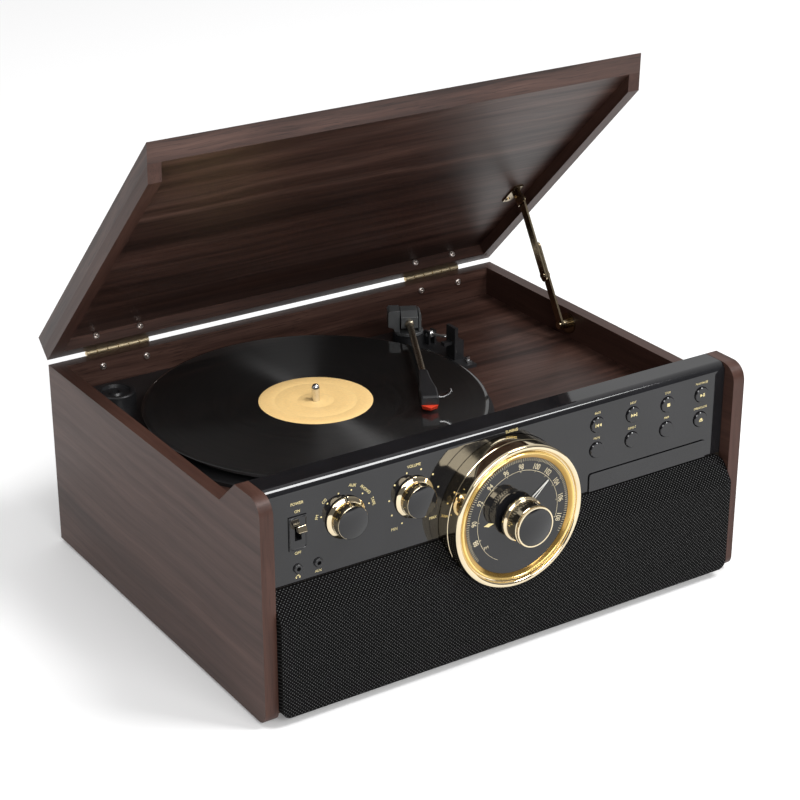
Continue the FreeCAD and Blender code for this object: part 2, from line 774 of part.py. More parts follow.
def stay():
    right = "(stay_x + joint_gap)"
    left = "(stay_x - joint_gap)"
    lower = stay_bar("lower_bar", (right, f"{right} + stay_thickness"), "stay_foot_reach", "stay_tail",
                     (f"{right} + stay_thickness", f"{right} + stay_thickness + 1.2"))
    swing(lower, V(1, 0, 0), STAY_ANGLE, ("0", STAY_FOOT_Y, STAY_FOOT_Z))
    keep(lower, "stay_lower_bar")
    reach = f"({STAY_SPAN} - stay_foot_reach)"
    upper = stay_bar("upper_bar", (f"{left} - stay_thickness", left), reach, "2",
                     (f"{left} - stay_thickness - 1.2", f"{left} - stay_thickness"))
    swing(upper, V(1, 0, 0), f"{STAY_ANGLE} + 180 deg", ("0", STAY_TOP_Y, STAY_TOP_Z))
    keep(upper, "stay_upper_bar")


def stay_lower_bracket():
    centre = (STAY_FOOT_Y, STAY_FOOT_Z)
    bar_out = "(stay_x + joint_gap + stay_thickness + joint_gap)"
    plate = rod("stay_rosette", "x", centre, (f"{INSIDE} - stay_plate_thickness", INSIDE), "10")
    boss = rod("stay_boss", "x", centre, (bar_out, INSIDE), "4.5")
    pin = rod("stay_pin", "x", centre, ("stay_x - 1", bar_out), "stay_pin_radius")
    head = rod("stay_pin_head", "x", centre, ("stay_x - 2", "stay_x"), "stay_half_width - 0.6")
    keep(fuse("stay_lower_mount", [plate, boss, pin, head]), "stay_lower_bracket")


def stay_upper_bracket():
    bar_out = "(stay_x - 2 * joint_gap - stay_thickness)"
    plate = block("stay_plate", (f"{bar_out} - 10", bar_out), (f"{STAY_DY} - 14", f"{STAY_DY} + 14"),
                  (f"{LID_UNDER} - stay_plate_thickness", LID_UNDER))
    tab = block("stay_tab", (f"{bar_out} - stay_plate_thickness", bar_out),
                (f"{STAY_DY} - 6", f"{STAY_DY} + 6"), (f"{STAY_DZ} - 5", LID_UNDER))
    pin = rod("stay_top_pin", "x", (STAY_DY, STAY_DZ), (f"{bar_out} - 1", "stay_x"), "stay_pin_radius")
    head = rod("stay_top_head", "x", (STAY_DY, STAY_DZ), ("stay_x", "stay_x + 1.2"), "stay_half_width - 0.8")
    screw = rod("stay_screw", "z", (f"{bar_out} - 6", f"{STAY_DY} + 10"),
                (f"{LID_UNDER} - stay_plate_thickness - 1", LID_UNDER), "2.4")
    keep(on_lid(fuse("stay_upper_mount", [plate, tab, pin, head, screw])), "stay_upper_bracket")


# Dial, turned about the tuning axis; distances run from the housing's back toward the viewer

DIAL_SPOT = ("dial_x", f"{FACE} + dial_back", DIAL_Z)
DIAL_FRONT = "(dial_back + dial_front)"
GLOW_RADIUS = "(dial_radius - dial_wall)"
FACE_RADIUS = "(dial_radius - dial_wall - glow_width)"
FACE_FRONT = "(dial_back + dial_front - face_set_back)"


def dial_housing():
    seam = f"({DIAL_FRONT} - 14)"
    outline = [
        ("shaft_radius + 4", "0"),
        ("dial_radius", "0"),
        ("dial_radius", f"{seam} - 0.5"),
        ("dial_radius - 0.8", seam),
        ("dial_radius", f"{seam} + 0.5"),
        ("dial_radius", f"{DIAL_FRONT} - 3"),
        ("dial_radius - 2.2", DIAL_FRONT),
        (f"{GLOW_RADIUS} + 1.2", DIAL_FRONT),
        (GLOW_RADIUS, f"{DIAL_FRONT} - 1.4"),
        (GLOW_RADIUS, "3"),
        ("shaft_radius + 4", "3"),
    ]
    keep(turned("housing", outline, DIAL_SPOT, "-y"), "dial_housing")


def dial_glow_ring():
    outer = f"({GLOW_RADIUS} - 0.1)"
    outline = [
        (FACE_RADIUS, "3"),
        (outer, "3"),
        (outer, f"{DIAL_FRONT} - 2.2"),
        (f"{outer} - glow_width / 2", f"{DIAL_FRONT} - 1"),
        (FACE_RADIUS, f"{FACE_FRONT} + 0.8"),
    ]
    keep(turned("glow_ring", outline, DIAL_SPOT, "-y"), "dial_glow_ring")


def dial_face():
    outline = [
        ("shaft_radius + 3", f"{FACE_FRONT} - face_thickness"),
        (f"{FACE_RADIUS} - 0.1", f"{FACE_FRONT} - face_thickness"),
        (f"{FACE_RADIUS} - 0.1", FACE_FRONT),
        ("shaft_radius + 3", FACE_FRONT),
    ]
    keep(turned("face_disc", outline, DIAL_SPOT, "-y"), "dial_face")


def dial_pointer():
    back = f"({FACE_FRONT} + joint_gap)"
    front = f"({FACE_FRONT} + joint_gap + 0.8)"
    near = f"-{front}"
    far = f"-{back}"
    needle = block("pointer_needle", ("-0.9", "0.9"), (near, far), ("shaft_radius + 1.5", "pointer_length"))
    hub = rod("pointer_hub", "y", ("0", "0"), (near, far), "shaft_radius + 2.5")
    bore = rod("pointer_bore", "y", ("0", "0"), (near, far), "shaft_radius + joint_gap")
    pointer = cut("pointer", fuse("pointer_solid", [needle, hub]), [bore])
    keep(swing(pointer, V(0, 1, 0), "pointer_angle", DIAL_SPOT), "dial_pointer")


def tuning_knob():
    start = f"({FACE_FRONT} + 2.4)"
    front = "(dial_back + tuning_front)"
    outline = [
        ("0", "-8"),
        ("shaft_radius", "-8"),
        ("shaft_radius", start),
        ("tuning_radius - 1.5", start),
        ("tuning_radius", f"{start} + 1.5"),
        ("tuning_radius", f"{start} + 8"),
        ("tuning_radius - 0.7", f"{start} + 8.7"),
        ("tuning_radius - 0.7", f"{front} - 1"),
        ("tuning_radius - 1.7", front),
        ("0", front),
    ]
    keep(turned("tuner", outline, DIAL_SPOT, "-y"), "tuning_knob")


# Knobs, switch, jacks and what they turn

def panel_knob(label, x):
    """Knob with its shaft; distances run from the shaft's end toward the viewer."""
    start = "(switch_body_depth - 2 + panel_thickness + joint_gap + 0.2)"
    outline = [
        ("0", "0"),
        ("shaft_radius", "0"),
        ("shaft_radius", start),
        ("knob_skirt_radius - 0.8", start),
        ("knob_skirt_radius", f"{start} + 0.8"),
        ("knob_skirt_radius", f"{start} + 2"),
        ("knob_front_radius + 2", f"{start} + 3.4"),
        ("knob_front_radius + 1", f"{start} + knob_length - 1.2"),
        ("knob_front_radius", f"{start} + knob_length"),
        ("0", f"{start} + knob_length"),
    ]
    spot = (x, f"{FACE_INSIDE} + switch_body_depth - 2", KNOB_Z)
    keep(turned(label, outline, spot, "-y"), label)


def control_switches():
    """Rotary switch, volume control, tuning capacitor and toggle switch body."""
    far = f"{FACE_INSIDE} + switch_body_depth"
    bodies = []
    for name, x in (("rotary", "function_x"), ("volume", "volume_x")):
        drum = rod(name + "_drum", "y", (x, KNOB_Z), (FACE_INSIDE, far), "knob_front_radius - 1")
        depth = (FACE_INSIDE, f"{far} - 2")
        bore = rod(name + "_bore", "y", (x, KNOB_Z), depth, "shaft_radius + running_gap")
        bodies.append(cut(name + "_body", drum, [bore]))
    back = f"({FACE} + dial_back)"
    box = block("tuner_box", ("dial_x - 14", "dial_x + 14"), (back, f"{back} + 11"),
                (f"{DIAL_Z} - 10", f"{DIAL_Z} + 10"))
    bore = rod("tuner_bore", "y", ("dial_x", DIAL_Z), (back, f"{back} + 8.5"), "shaft_radius + running_gap")
    bodies.append(cut("tuner_body", box, [bore]))
    bodies.append(toggle_body(far))
    keep(group("switch_group", bodies), "control_switches")


TOGGLE_Y = f"({FACE_INSIDE} + toggle_pivot)"
TOGGLE_Z = "(foot_height + toggle_height)"


def toggle_body(far):
    """Case behind the panel, hollow for the lever and bored for its cross pin."""
    case = block("toggle_case", ("toggle_x - 6.5", "toggle_x + 6.5"), (FACE_INSIDE, far),
                 (f"{TOGGLE_Z} - 10", f"{TOGGLE_Z} + 10"))
    hollow = block("toggle_hollow", ("toggle_x - 3.2", "toggle_x + 3.2"), (FACE_INSIDE, f"{FACE_INSIDE} + 6"),
                   (f"{TOGGLE_Z} - 7", f"{TOGGLE_Z} + 7"))
    bore = rod("toggle_bore", "x", (TOGGLE_Y, TOGGLE_Z), ("toggle_x - 5.3", "toggle_x + 5.3"),
               "toggle_pin_radius + running_gap")
    return cut("toggle_body", case, [hollow, bore])


def toggle_slot(name, span):
    return block(name, ("toggle_x - 3", "toggle_x + 3"), span,
                 (f"{TOGGLE_Z} - toggle_swing", f"{TOGGLE_Z} + toggle_swing"))


def power_switch_bezel():
    span = (f"{FACE} - bezel_thickness", FACE)
    plate = block("bezel_plate", ("toggle_x - bezel_width / 2", "toggle_x + bezel_width / 2"), span,
                  (f"{TOGGLE_Z} - bezel_rise / 2", f"{TOGGLE_Z} + bezel_rise / 2"))
    keep(cut("bezel_cut", plate, [toggle_slot("bezel_slot", span)]), "power_switch_bezel")


def power_toggle():
    outline = [
        ("0", "-2.4"),
        ("1.6", "-2.4"),
        ("2.6", "-1"),
        ("2.6", "1"),
        ("1.5", "2.4"),
        ("1.5", "toggle_length * 0.35"),
        ("2.6", "toggle_length - 1.5"),
        ("2", "toggle_length"),
        ("0", "toggle_length"),
    ]
    lever = turned("lever", outline, ("0", "0", "0"), "z")
    pin = rod("toggle_pin", "x", ("0", "0"), ("-5", "5"), "toggle_pin_radius")
    toggle = fuse("toggle_solid", [lever, pin])
    keep(swing(toggle, V(1, 0, 0), "90 - toggle_angle", ("toggle_x", TOGGLE_Y, TOGGLE_Z)), "power_toggle")


def jack_sockets():
    outline = [
        ("jack_bore", "0"),
        ("jack_radius - 1.3", "0"),
        ("jack_radius - 1.3", "14"),
        ("jack_radius", "14"),
        ("jack_radius", "15.2"),
        ("jack_radius - 0.6", "15.8"),
        ("jack_bore", "15.8"),
    ]
    pair = [turned(f"jack_{n}", outline, (x, f"{FACE} + 14", high("jack_height")), "-y")
            for n, x in enumerate(("jack_x", "jack_x + jack_pitch"))]
    keep(group("jack_pair", pair), "jack_sockets")


# Buttons and disc drawer

def push_buttons():
    """Round buttons, each with a flange behind the panel that keeps it in."""
    front = "(panel_thickness + button_back + button_rise)"
    outline = [
        ("0", "0"),
        ("button_radius - 2", "0"),
        ("button_radius - 2", "1.7"),
        ("button_radius + 1.5", "1.7"),
        ("button_radius + 1.5", "button_back - joint_gap"),
        ("button_radius", "button_back - joint_gap"),
        ("button_radius", f"{front} - 0.6"),
        ("button_radius - 0.6", front),
        ("0", front),
    ]
    names = ("back", "next", "stop", "play", "blank_left", "blank_right", "pair", "eject")
    for name, (x, z) in zip(names, button_spots()):
        label = f"button_{name}"
        keep(turned(label, outline, (x, f"{FACE_INSIDE} + button_back", z), "-y"), label)


def drawer_plate(name, extra, y, low):
    """The drawer front's outline with round upper corners, larger all round by an extra."""
    half = f"(drawer_width / 2 + {extra})"
    corner = f"(drawer_corner + {extra})"
    top = f"({SEAM} + panel_gap + drawer_rise + {extra})"
    pieces = [
        block(name + "_wide", (f"drawer_x - {half}", f"drawer_x + {half}"), y, (low, f"{top} - {corner}")),
        block(name + "_tall", (f"drawer_x - {half} + {corner}", f"drawer_x + {half} - {corner}"), y,
              (low, top)),
    ]
    for side in (-1, 1):
        centre = (f"drawer_x + {side} * ({half} - {corner})", f"{top} - {corner}")
        pieces.append(rod(name + "_corner", "y", centre, y, corner))
    return fuse(name, pieces)


def disc_drawer():
    front_y = (f"{FACE} - drawer_proud", FACE_INSIDE)
    front = drawer_plate("drawer_front", "0", front_y, f"({SEAM} + panel_gap)")
    tray = block("drawer_tray", ("drawer_x - tray_half", "drawer_x + tray_half"),
                 (FACE_INSIDE, f"{FACE_INSIDE} + tray_length"), (f"{SEAM} + 3", f"{SEAM} + 10"))
    solid = fuse("drawer_solid", [front, tray])
    middle = ("drawer_x", f"{FACE_INSIDE} + tray_length / 2")
    recess = rod("drawer_recess", "z", middle, (f"{SEAM} + 7", f"{SEAM} + 10"), "disc_radius - 0.5")
    well = block("drawer_well", ("drawer_x - 15", "drawer_x + 15"),
                 (f"{FACE_INSIDE} + tray_length / 2", f"{FACE_INSIDE} + tray_length"),
                 (f"{SEAM} + 3", f"{SEAM} + 7"))
    keep(cut("drawer_cut", solid, [recess, well]), "disc_drawer")


def disc_mechanism():
    half = "(tray_half + panel_gap)"
    case_y = (f"{FACE_INSIDE} + 9", f"{FACE_INSIDE} + tray_length + 16")
    case = block("mechanism_case", (f"drawer_x - {half} - 1.5", f"drawer_x + {half} + 1.5"), case_y,
                 (f"{SEAM} - 5", DECK_UNDER))
    tunnel = block("mechanism_tunnel", (f"drawer_x - {half}", f"drawer_x + {half}"),
                   (f"{FACE_INSIDE} + 9", f"{FACE_INSIDE} + tray_length + 4"),
                   (f"{SEAM} + 3 - panel_gap", f"{DECK_UNDER} - 3"))
    keep(cut("mechanism_cut", case, [tunnel]), "disc_mechanism")


# Turntable

SPINDLE = ("spindle_x", "(spindle_depth - origin_depth)")
MOTOR = ("spindle_x + motor_dx", "(spindle_depth + motor_dy - origin_depth)")
ARM = ("arm_x", "(arm_depth - origin_depth)")


def arm_rest():
    """Shelf and stop that the parked arm leans on."""
    top = f"{CHASSIS_TOP} + rest_rise"
    y = (deep("rest_depth - rest_half_width"), deep("rest_depth + rest_half_width"))
    post = block("rest_post", ("rest_x", "rest_x + 10"), y, (DECK_TOP, top))
    stop = block("rest_stop", ("rest_x", "rest_x + 3.5"), y, (DECK_TOP, high("arm_height + 9")))
    shelf = block("rest_shelf", ("rest_x - 9", "rest_x"), (deep("rest_depth - 3"), deep("rest_depth + 3")),
                  (high("arm_height - tube_radius - 5"), high("arm_height - tube_radius - 2")))
    return [post, stop, shelf]


def cue_ears():
    """Two ears that carry the cueing lever's axle."""
    y = (deep("cue_depth - 4"), deep("cue_depth + 4"))
    z = (DECK_TOP, f"{CHASSIS_TOP} + 13")
    return [block("cue_ear", (start, f"{start} + 2"), y, z)
            for start in ("(cue_x - 2 - joint_gap)", "(cue_x + 4 + joint_gap)")]


def turntable_chassis():
    level = (DECK_TOP, CHASSIS_TOP)
    pillar_z = (DECK_TOP, f"{CHASSIS_TOP} + pillar_rise")
    disc = rod("chassis_disc", "z", SPINDLE, level, "chassis_radius")
    arm_plate = block("chassis_arm_plate", ("spindle_x", "rest_x + 13"),
                      (deep("speed_depth - 8"), deep("arm_depth + pillar_radius + 14")), level)
    corner = block("chassis_corner", (f"2 - {INSIDE}", "spindle_x"),
                   (SPINDLE[1], deep("spindle_depth + chassis_radius")), level)
    pillar = rod("arm_pillar", "z", ARM, pillar_z, "pillar_radius")
    peg = rod("adapter_peg", "z", ("adapter_x", deep("adapter_depth")), (DECK_TOP, f"{CHASSIS_TOP} + 7"),
              "spindle_radius - 0.2")
    solid = fuse("chassis_solid", [disc, arm_plate, corner, pillar, peg] + arm_rest() + cue_ears())
    bearing_hole = rod("bearing_hole", "z", SPINDLE, level, "spindle_radius + 3.5")
    shaft_hole = rod("motor_shaft_hole", "z", MOTOR, level, "2.5")
    arm_bore = rod("arm_bore", "z", ARM, pillar_z, "shaft_radius + running_gap")
    cue_bore = rod("cue_bore", "x", (deep("cue_depth"), f"{CHASSIS_TOP} + 9"), ("cue_x - 3", "cue_x + 7"),
                   "2 + running_gap")
    keep(cut("chassis_cut", solid, [bearing_hole, shaft_hole, arm_bore, cue_bore]), "turntable_chassis")


def platter_bearing():
    outline = [
        ("spindle_radius + running_gap", "0"),
        ("spindle_radius + 3.4", "0"),
        ("spindle_radius + 3.4", "18"),
        ("spindle_radius + 11", "18"),
        ("spindle_radius + 11", "21"),
        ("spindle_radius + 3.4", "21"),
        ("spindle_radius + 3.4", "21 + chassis_thickness + platter_gap - joint_gap"),
        ("spindle_radius + running_gap", "21 + chassis_thickness + platter_gap - joint_gap"),
    ]
    keep(turned("bearing", outline, SPINDLE + (f"{DECK_TOP} - 21",), "z"), "platter_bearing")


def platter():
    inside = "(platter_rise - platter_skin)"
    outline = [
        ("spindle_radius", "0"),
        ("spindle_radius + 8", "0"),
        ("spindle_radius + 8", inside),
        ("drive_ring_radius - 3", inside),
        ("drive_ring_radius - 3", "0"),
        ("drive_ring_radius", "0"),
        ("drive_ring_radius", inside),
        ("platter_radius - 5", inside),
        ("platter_radius - 5", "0"),
        ("platter_radius - 0.8", "0"),
        ("platter_radius", "0.8"),
        ("platter_radius", "platter_rise"),
        ("spindle_radius", "platter_rise"),
    ]
    keep(turned("platter_disc", outline, SPINDLE + (PLATTER_Z,), "z"), "platter")


def slip_mat():
    outline = [
        ("spindle_radius + running_gap", "0"),
        ("platter_radius - 1.5", "0"),
        ("platter_radius - 1.5", "mat_thickness"),
        ("spindle_radius + running_gap", "mat_thickness"),
    ]
    keep(turned("mat", outline, SPINDLE + (f"{PLATTER_Z} + platter_rise",), "z"), "slip_mat")


def spindle():
    foot = "(deck_height - 20)"
    outline = [
        ("0", "0"),
        ("spindle_radius", "0"),
        ("spindle_radius", f"spindle_height - {foot} - 4"),
        ("spindle_radius * 0.75", f"spindle_height - {foot} - 1.2"),
        ("spindle_radius * 0.3", f"spindle_height - {foot}"),
        ("0", f"spindle_height - {foot}"),
    ]
    keep(turned("spindle_pin", outline, SPINDLE + (high(foot),), "z"), "spindle")


def record():
    outline = [
        ("spindle_radius + running_gap", "0"),
        ("record_radius - 0.6", "0"),
        ("record_radius", "record_thickness / 3"),
        ("record_radius", "record_thickness * 2 / 3"),
        ("record_radius - 0.6", "record_thickness"),
        ("spindle_radius + running_gap", "record_thickness"),
    ]
    keep(turned("record_disc", outline, SPINDLE + (RECORD_Z,), "z"), "record")


def drive_motor():
    span = (f"{DECK_TOP} - motor_length", DECK_TOP)
    drum = rod("motor_drum", "z", MOTOR, span, "motor_radius")
    bore = rod("motor_bore", "z", MOTOR, (f"{DECK_TOP} - 12", DECK_TOP), "1.5 + running_gap")
    keep(cut("motor_cut", drum, [bore]), "drive_motor")


def motor_pulley():
    low = "(chassis_thickness + platter_gap + 0.2)"
    top = "(chassis_thickness + platter_gap + platter_rise - platter_skin - joint_gap)"
    outline = [
        ("0", "0"),
        ("1.5", "0"),
        ("1.5", f"{low} + 11"),
        ("pulley_radius", f"{low} + 11"),
        ("pulley_radius", f"{top} + 11"),
        ("0", f"{top} + 11"),
    ]
    keep(turned("pulley", outline, MOTOR + (f"{DECK_TOP} - 11",), "z"), "motor_pulley")


def loop_wire(big, small, distance, heading, centre, level):
    """Wire of an open belt round two wheels of the given radii."""
    lean = math.acos((big - small) / distance)
    far = centre + V(distance * math.cos(heading), distance * math.sin(heading), 0)

    def on_wheel(middle, radius, angle):
        return V(middle.x + radius * math.cos(angle), middle.y + radius * math.sin(angle), level)

    big_start = on_wheel(centre, big, heading + lean)
    big_back = on_wheel(centre, big, heading + math.pi)
    big_end = on_wheel(centre, big, heading - lean)
    small_start = on_wheel(far, small, heading - lean)
    small_tip = on_wheel(far, small, heading)
    small_end = on_wheel(far, small, heading + lean)
    edges = [
        Part.Arc(big_start, big_back, big_end).toShape(),
        Part.LineSegment(big_end, small_start).toShape(),
        Part.Arc(small_start, small_tip, small_end).toShape(),
        Part.LineSegment(small_end, big_start).toShape(),
    ]
    return Part.Wire(edges)


def drive_belt():
    """Flat belt round the platter's drive ring and the motor pulley."""
    gap = sheet.joint_gap
    thick = sheet.belt_thickness
    distance = math.hypot(sheet.motor_dx, sheet.motor_dy)
    heading = math.atan2(sheet.motor_dy, sheet.motor_dx)
    wheels = (sheet.drive_ring_radius + gap, sheet.pulley_radius + gap)
    inner = loop_wire(wheels[0], wheels[1], distance, heading, V(), 0)
    outer = loop_wire(wheels[0] + thick, wheels[1] + thick, distance, heading, V(), 0)
    tall = sheet.platter_rise - sheet.platter_skin - 2 * gap - 0.4
    ring = Part.Face(outer).cut(Part.Face(inner))
    item = doc.addObject("Part::Feature", "belt")
    item.Shape = ring.extrude(V(0, 0, tall)).Solids[0]
    place(item, SPINDLE + (f"{PLATTER_Z} + joint_gap + 0.2",))
    keep(item, "drive_belt")


def small_record_adapter():
    outline = [
        ("spindle_radius", "0"),
        ("adapter_radius", "0"),
        ("adapter_radius", "adapter_rise - 1"),
        ("adapter_radius - 1", "adapter_rise"),
        ("adapter_radius - 4", "adapter_rise"),
        ("adapter_radius - 5", "adapter_rise - 3"),
        ("spindle_radius + 3", "adapter_rise - 3"),
        ("spindle_radius + 2", "adapter_rise - 1"),
        ("spindle_radius", "adapter_rise - 1"),
    ]
    spot = ("adapter_x", deep("adapter_depth"), CHASSIS_TOP)
    keep(turned("adapter", outline, spot, "z"), "small_record_adapter")


# Tonearm, built about its upright pivot with the arm pointing to the front

YOKE_LOW = f"({CHASSIS_TOP} + pillar_rise + joint_gap)"
ARM_Z = "(foot_height + arm_height)"
NEEDLE_Z = f"({RECORD_Z} + record_thickness + needle_gap)"


def tonearm_yoke():
    floor = f"({YOKE_LOW} + yoke_thickness)"
    length = ("-yoke_half_length", "yoke_half_length")
    side = "(head_half_width + joint_gap + 0.5)"
    disc = rod("yoke_disc", "z", ("0", "0"), (YOKE_LOW, floor), "pillar_radius - 1")
    axle = rod("yoke_axle", "z", ("0", "0"), (f"{YOKE_LOW} - pillar_rise", YOKE_LOW), "shaft_radius")
    left = block("yoke_left", (f"-{side} - 11", f"-{side}"), length, (YOKE_LOW, f"{ARM_Z} + cheek_rise"))
    right = block("yoke_right", (side, f"{side} + 2.5"), length, (YOKE_LOW, f"{ARM_Z} + cheek_rise - 2"))
    bore = rod("yoke_bore", "x", ("0", ARM_Z), (f"-{side} - 4", f"{side} + 4"), "1.5 + running_gap")
    keep(on_arm(cut("yoke", fuse("yoke_solid", [disc, axle, left, right]), [bore])), "tonearm_yoke")


def tonearm_tube():
    end = "-(arm_reach - headshell_length)"
    head = block("arm_head", ("-head_half_width", "head_half_width"),
                 ("-yoke_half_length - 3", "yoke_half_length"),
                 (f"{ARM_Z} - 4.5", f"{ARM_Z} + cheek_rise - 1"))
    weight = block("arm_weight", ("-head_half_width - 1", "head_half_width + 1"),
                   ("yoke_half_length + 1", "yoke_half_length + 11"), (f"{ARM_Z} - 7", f"{ARM_Z} + 7"))
    neck = block("arm_neck", ("-4", "4"), ("yoke_half_length", "yoke_half_length + 1"),
                 (f"{ARM_Z} - 4", f"{ARM_Z} + 4"))
    tube = rod("arm_tube", "y", ("0", ARM_Z), (end, "0"), "tube_radius")
    pin = rod("arm_pin", "x", ("0", ARM_Z), ("-head_half_width - 4", "head_half_width + 4"), "1.5")
    keep(on_arm(fuse("arm_solid", [head, weight, neck, tube, pin])), "tonearm_tube")


def headshell():
    rear = "-(arm_reach - headshell_length)"
    outline = [
        ("-tube_radius - 1.5", rear),
        ("tube_radius + 1.5", rear),
        ("tube_radius + 2.5", f"{rear} - headshell_length * 0.35"),
        ("8", f"{rear} - headshell_length * 0.6"),
        ("8", "-arm_reach + 4"),
        ("-8", "-arm_reach + 4"),
        ("-8", f"{rear} - headshell_length * 0.6"),
        ("-tube_radius - 2.5", f"{rear} - headshell_length * 0.35"),
    ]
    shell = padded("shell_plan", "XY_Plane", outline, f"{ARM_Z} + tube_radius - {NEEDLE_Z} - 5",
                   ("0", "0", f"{NEEDLE_Z} + 5"))
    lift = block("shell_finger", ("8", "20"), ("-arm_reach + 8", "-arm_reach + 13"),
                 (f"{ARM_Z} - 1", f"{ARM_Z} + 0.6"))
    keep(on_arm(fuse("shell_solid", [shell, lift])), "headshell")


def cartridge():
    outline = [
        ("-7.4", "-arm_reach + 18"),
        ("7.4", "-arm_reach + 18"),
        ("7.4", "-arm_reach + 4"),
        ("0", "-arm_reach - 3"),
        ("-7.4", "-arm_reach + 4"),
    ]
    body = padded("cartridge_plan", "XY_Plane", outline, "3.6", ("0", "0", f"{NEEDLE_Z} + 1.4"))
    needle = rod("needle", "z", ("0", "-arm_reach + 1"), (NEEDLE_Z, f"{NEEDLE_Z} + 1.4"), "0.5")
    keep(on_arm(fuse("cartridge_solid", [body, needle])), "cartridge")


def cue_lever():
    axle = rod("cue_axle", "x", ("0", "0"), ("-2", "6"), "2")
    hub = rod("cue_hub", "x", ("0", "0"), ("0", "4"), "3.6")
    bar = block("cue_bar", ("0.5", "3.5"), ("-cue_length", "0"), ("-1", "1"))
    grip = block("cue_grip", ("-0.5", "4.5"), ("-cue_length", "9 - cue_length"), ("-1.5", "1.5"))
    lever = fuse("cue_solid", [axle, hub, bar, grip])
    keep(swing(lever, V(-1, 0, 0), "14", ("cue_x", deep("cue_depth"), f"{CHASSIS_TOP} + 9")), "cue_lever")


def speed_switch():
    low = f"({CHASSIS_TOP} + joint_gap)"
    slider = block("speed_slider", ("speed_x", "speed_x + 5"),
                   (deep("speed_depth - 3"), deep("speed_depth + 3")), (low, f"{low} + 1.6"))
    nub = block("speed_nub", ("speed_x + 1", "speed_x + 4"),
                (deep("speed_depth - 1.2"), deep("speed_depth + 1.2")), (f"{low} + 1.6", f"{low} + 5"))
    keep(fuse("speed_solid", [slider, nub]), "speed_switch")


def cabinet():
    side_panel("left_side_panel", "-cabinet_width / 2")
    side_panel("right_side_panel", INSIDE)
    for make in (rear_panel, base_panel, feet, deck_board, control_panel, speaker_grille, baffle_board,
                 speakers, circuit_boards, rear_terminal_plate):
        make()


def lid_and_stay():
    for make in (hinges, lid, stay, stay_lower_bracket, stay_upper_bracket):
        make()


def controls():
    for make in (dial_housing, dial_glow_ring, dial_face, dial_pointer, tuning_knob):
        make()
    panel_knob("function_knob", "function_x")
    panel_knob("volume_knob", "volume_x")
    for make in (control_switches, power_switch_bezel, power_toggle, jack_sockets, push_buttons,
                 disc_drawer, disc_mechanism):
        make()


def turntable():
    for make in (turntable_chassis, platter_bearing, platter, slip_mat, spindle, record, drive_motor,
                 motor_pulley, drive_belt, small_record_adapter, tonearm_yoke, tonearm_tube, headshell,
                 cartridge, cue_lever, speed_switch):
        make()


def build():
    fill_sheet()
    cabinet()
    lid_and_stay()
    controls()
    turntable()
    doc.recompute()


def write_files():
    """Stop on any broken piece, then write one STEP file per piece."""
    for item in doc.Objects:
        if "Invalid" in item.State or "Error" in item.State:
            raise RuntimeError(f"{item.Label} did not rebuild: {item.State}")
    for item in parts:
        if item.Shape.isNull() or not item.Shape.isValid():
            raise RuntimeError(f"{item.Label} has no valid shape")
    os.makedirs("parts", exist_ok=True)
    for item in parts:
        item.Shape.exportStep(f"parts/{item.Label}.step")


build()
write_files()
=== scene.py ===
import json
import math

import bmesh
import bpy
from mathutils import Matrix, Vector

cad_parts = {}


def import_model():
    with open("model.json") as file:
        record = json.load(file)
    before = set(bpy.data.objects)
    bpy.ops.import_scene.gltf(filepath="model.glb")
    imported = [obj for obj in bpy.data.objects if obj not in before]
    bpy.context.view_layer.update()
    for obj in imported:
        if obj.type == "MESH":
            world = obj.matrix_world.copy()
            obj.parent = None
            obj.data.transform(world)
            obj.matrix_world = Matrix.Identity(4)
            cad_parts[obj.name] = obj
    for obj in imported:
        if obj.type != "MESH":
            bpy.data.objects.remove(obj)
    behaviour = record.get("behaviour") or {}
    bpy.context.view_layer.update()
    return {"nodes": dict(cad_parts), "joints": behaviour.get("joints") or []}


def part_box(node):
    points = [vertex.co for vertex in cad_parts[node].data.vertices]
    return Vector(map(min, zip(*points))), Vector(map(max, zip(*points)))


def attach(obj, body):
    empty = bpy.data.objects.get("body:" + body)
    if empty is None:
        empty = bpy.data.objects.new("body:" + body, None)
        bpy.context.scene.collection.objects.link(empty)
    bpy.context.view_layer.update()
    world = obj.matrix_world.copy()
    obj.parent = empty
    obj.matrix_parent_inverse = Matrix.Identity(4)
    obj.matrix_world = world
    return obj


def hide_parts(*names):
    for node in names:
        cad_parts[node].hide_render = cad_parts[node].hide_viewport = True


# Looks of a record player with a hinged lid, a radio dial and a disc drawer.
# Pieces are drawn in millimetres in frames scaled by MM. Materials, lamps and camera are in metres.

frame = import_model()
nodes = frame["nodes"]

MM = 0.001
QUARTER = math.radians(90)
PANEL_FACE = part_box("control_panel")[0].y

# Rest angles, the toggle's pivot behind the panel and the volume knob's sweep
LID_ANGLE = math.radians(45.5)
TOGGLE_ANGLE = math.radians(25)
TOGGLE_PIVOT = 6.0
VOLUME_SWEEP = 303.0
POINTER_ANGLE = 50.0
CUE_ANGLE = math.radians(14)
ARM_YAW = math.radians(27.5)

# Arm: reach in front of its pivot, and half the width of the block there
ARM_REACH = 187.0
HEAD_HALF_WIDTH = 8.0

# Print: how deep it starts and how high it stands
PRINT_SUNK = 0.02
PRINT_RISE = 0.1

# Steps round a turned piece: small, plain and large
FEW, PLAIN, MANY = 48, 128, 192


# Shader building blocks

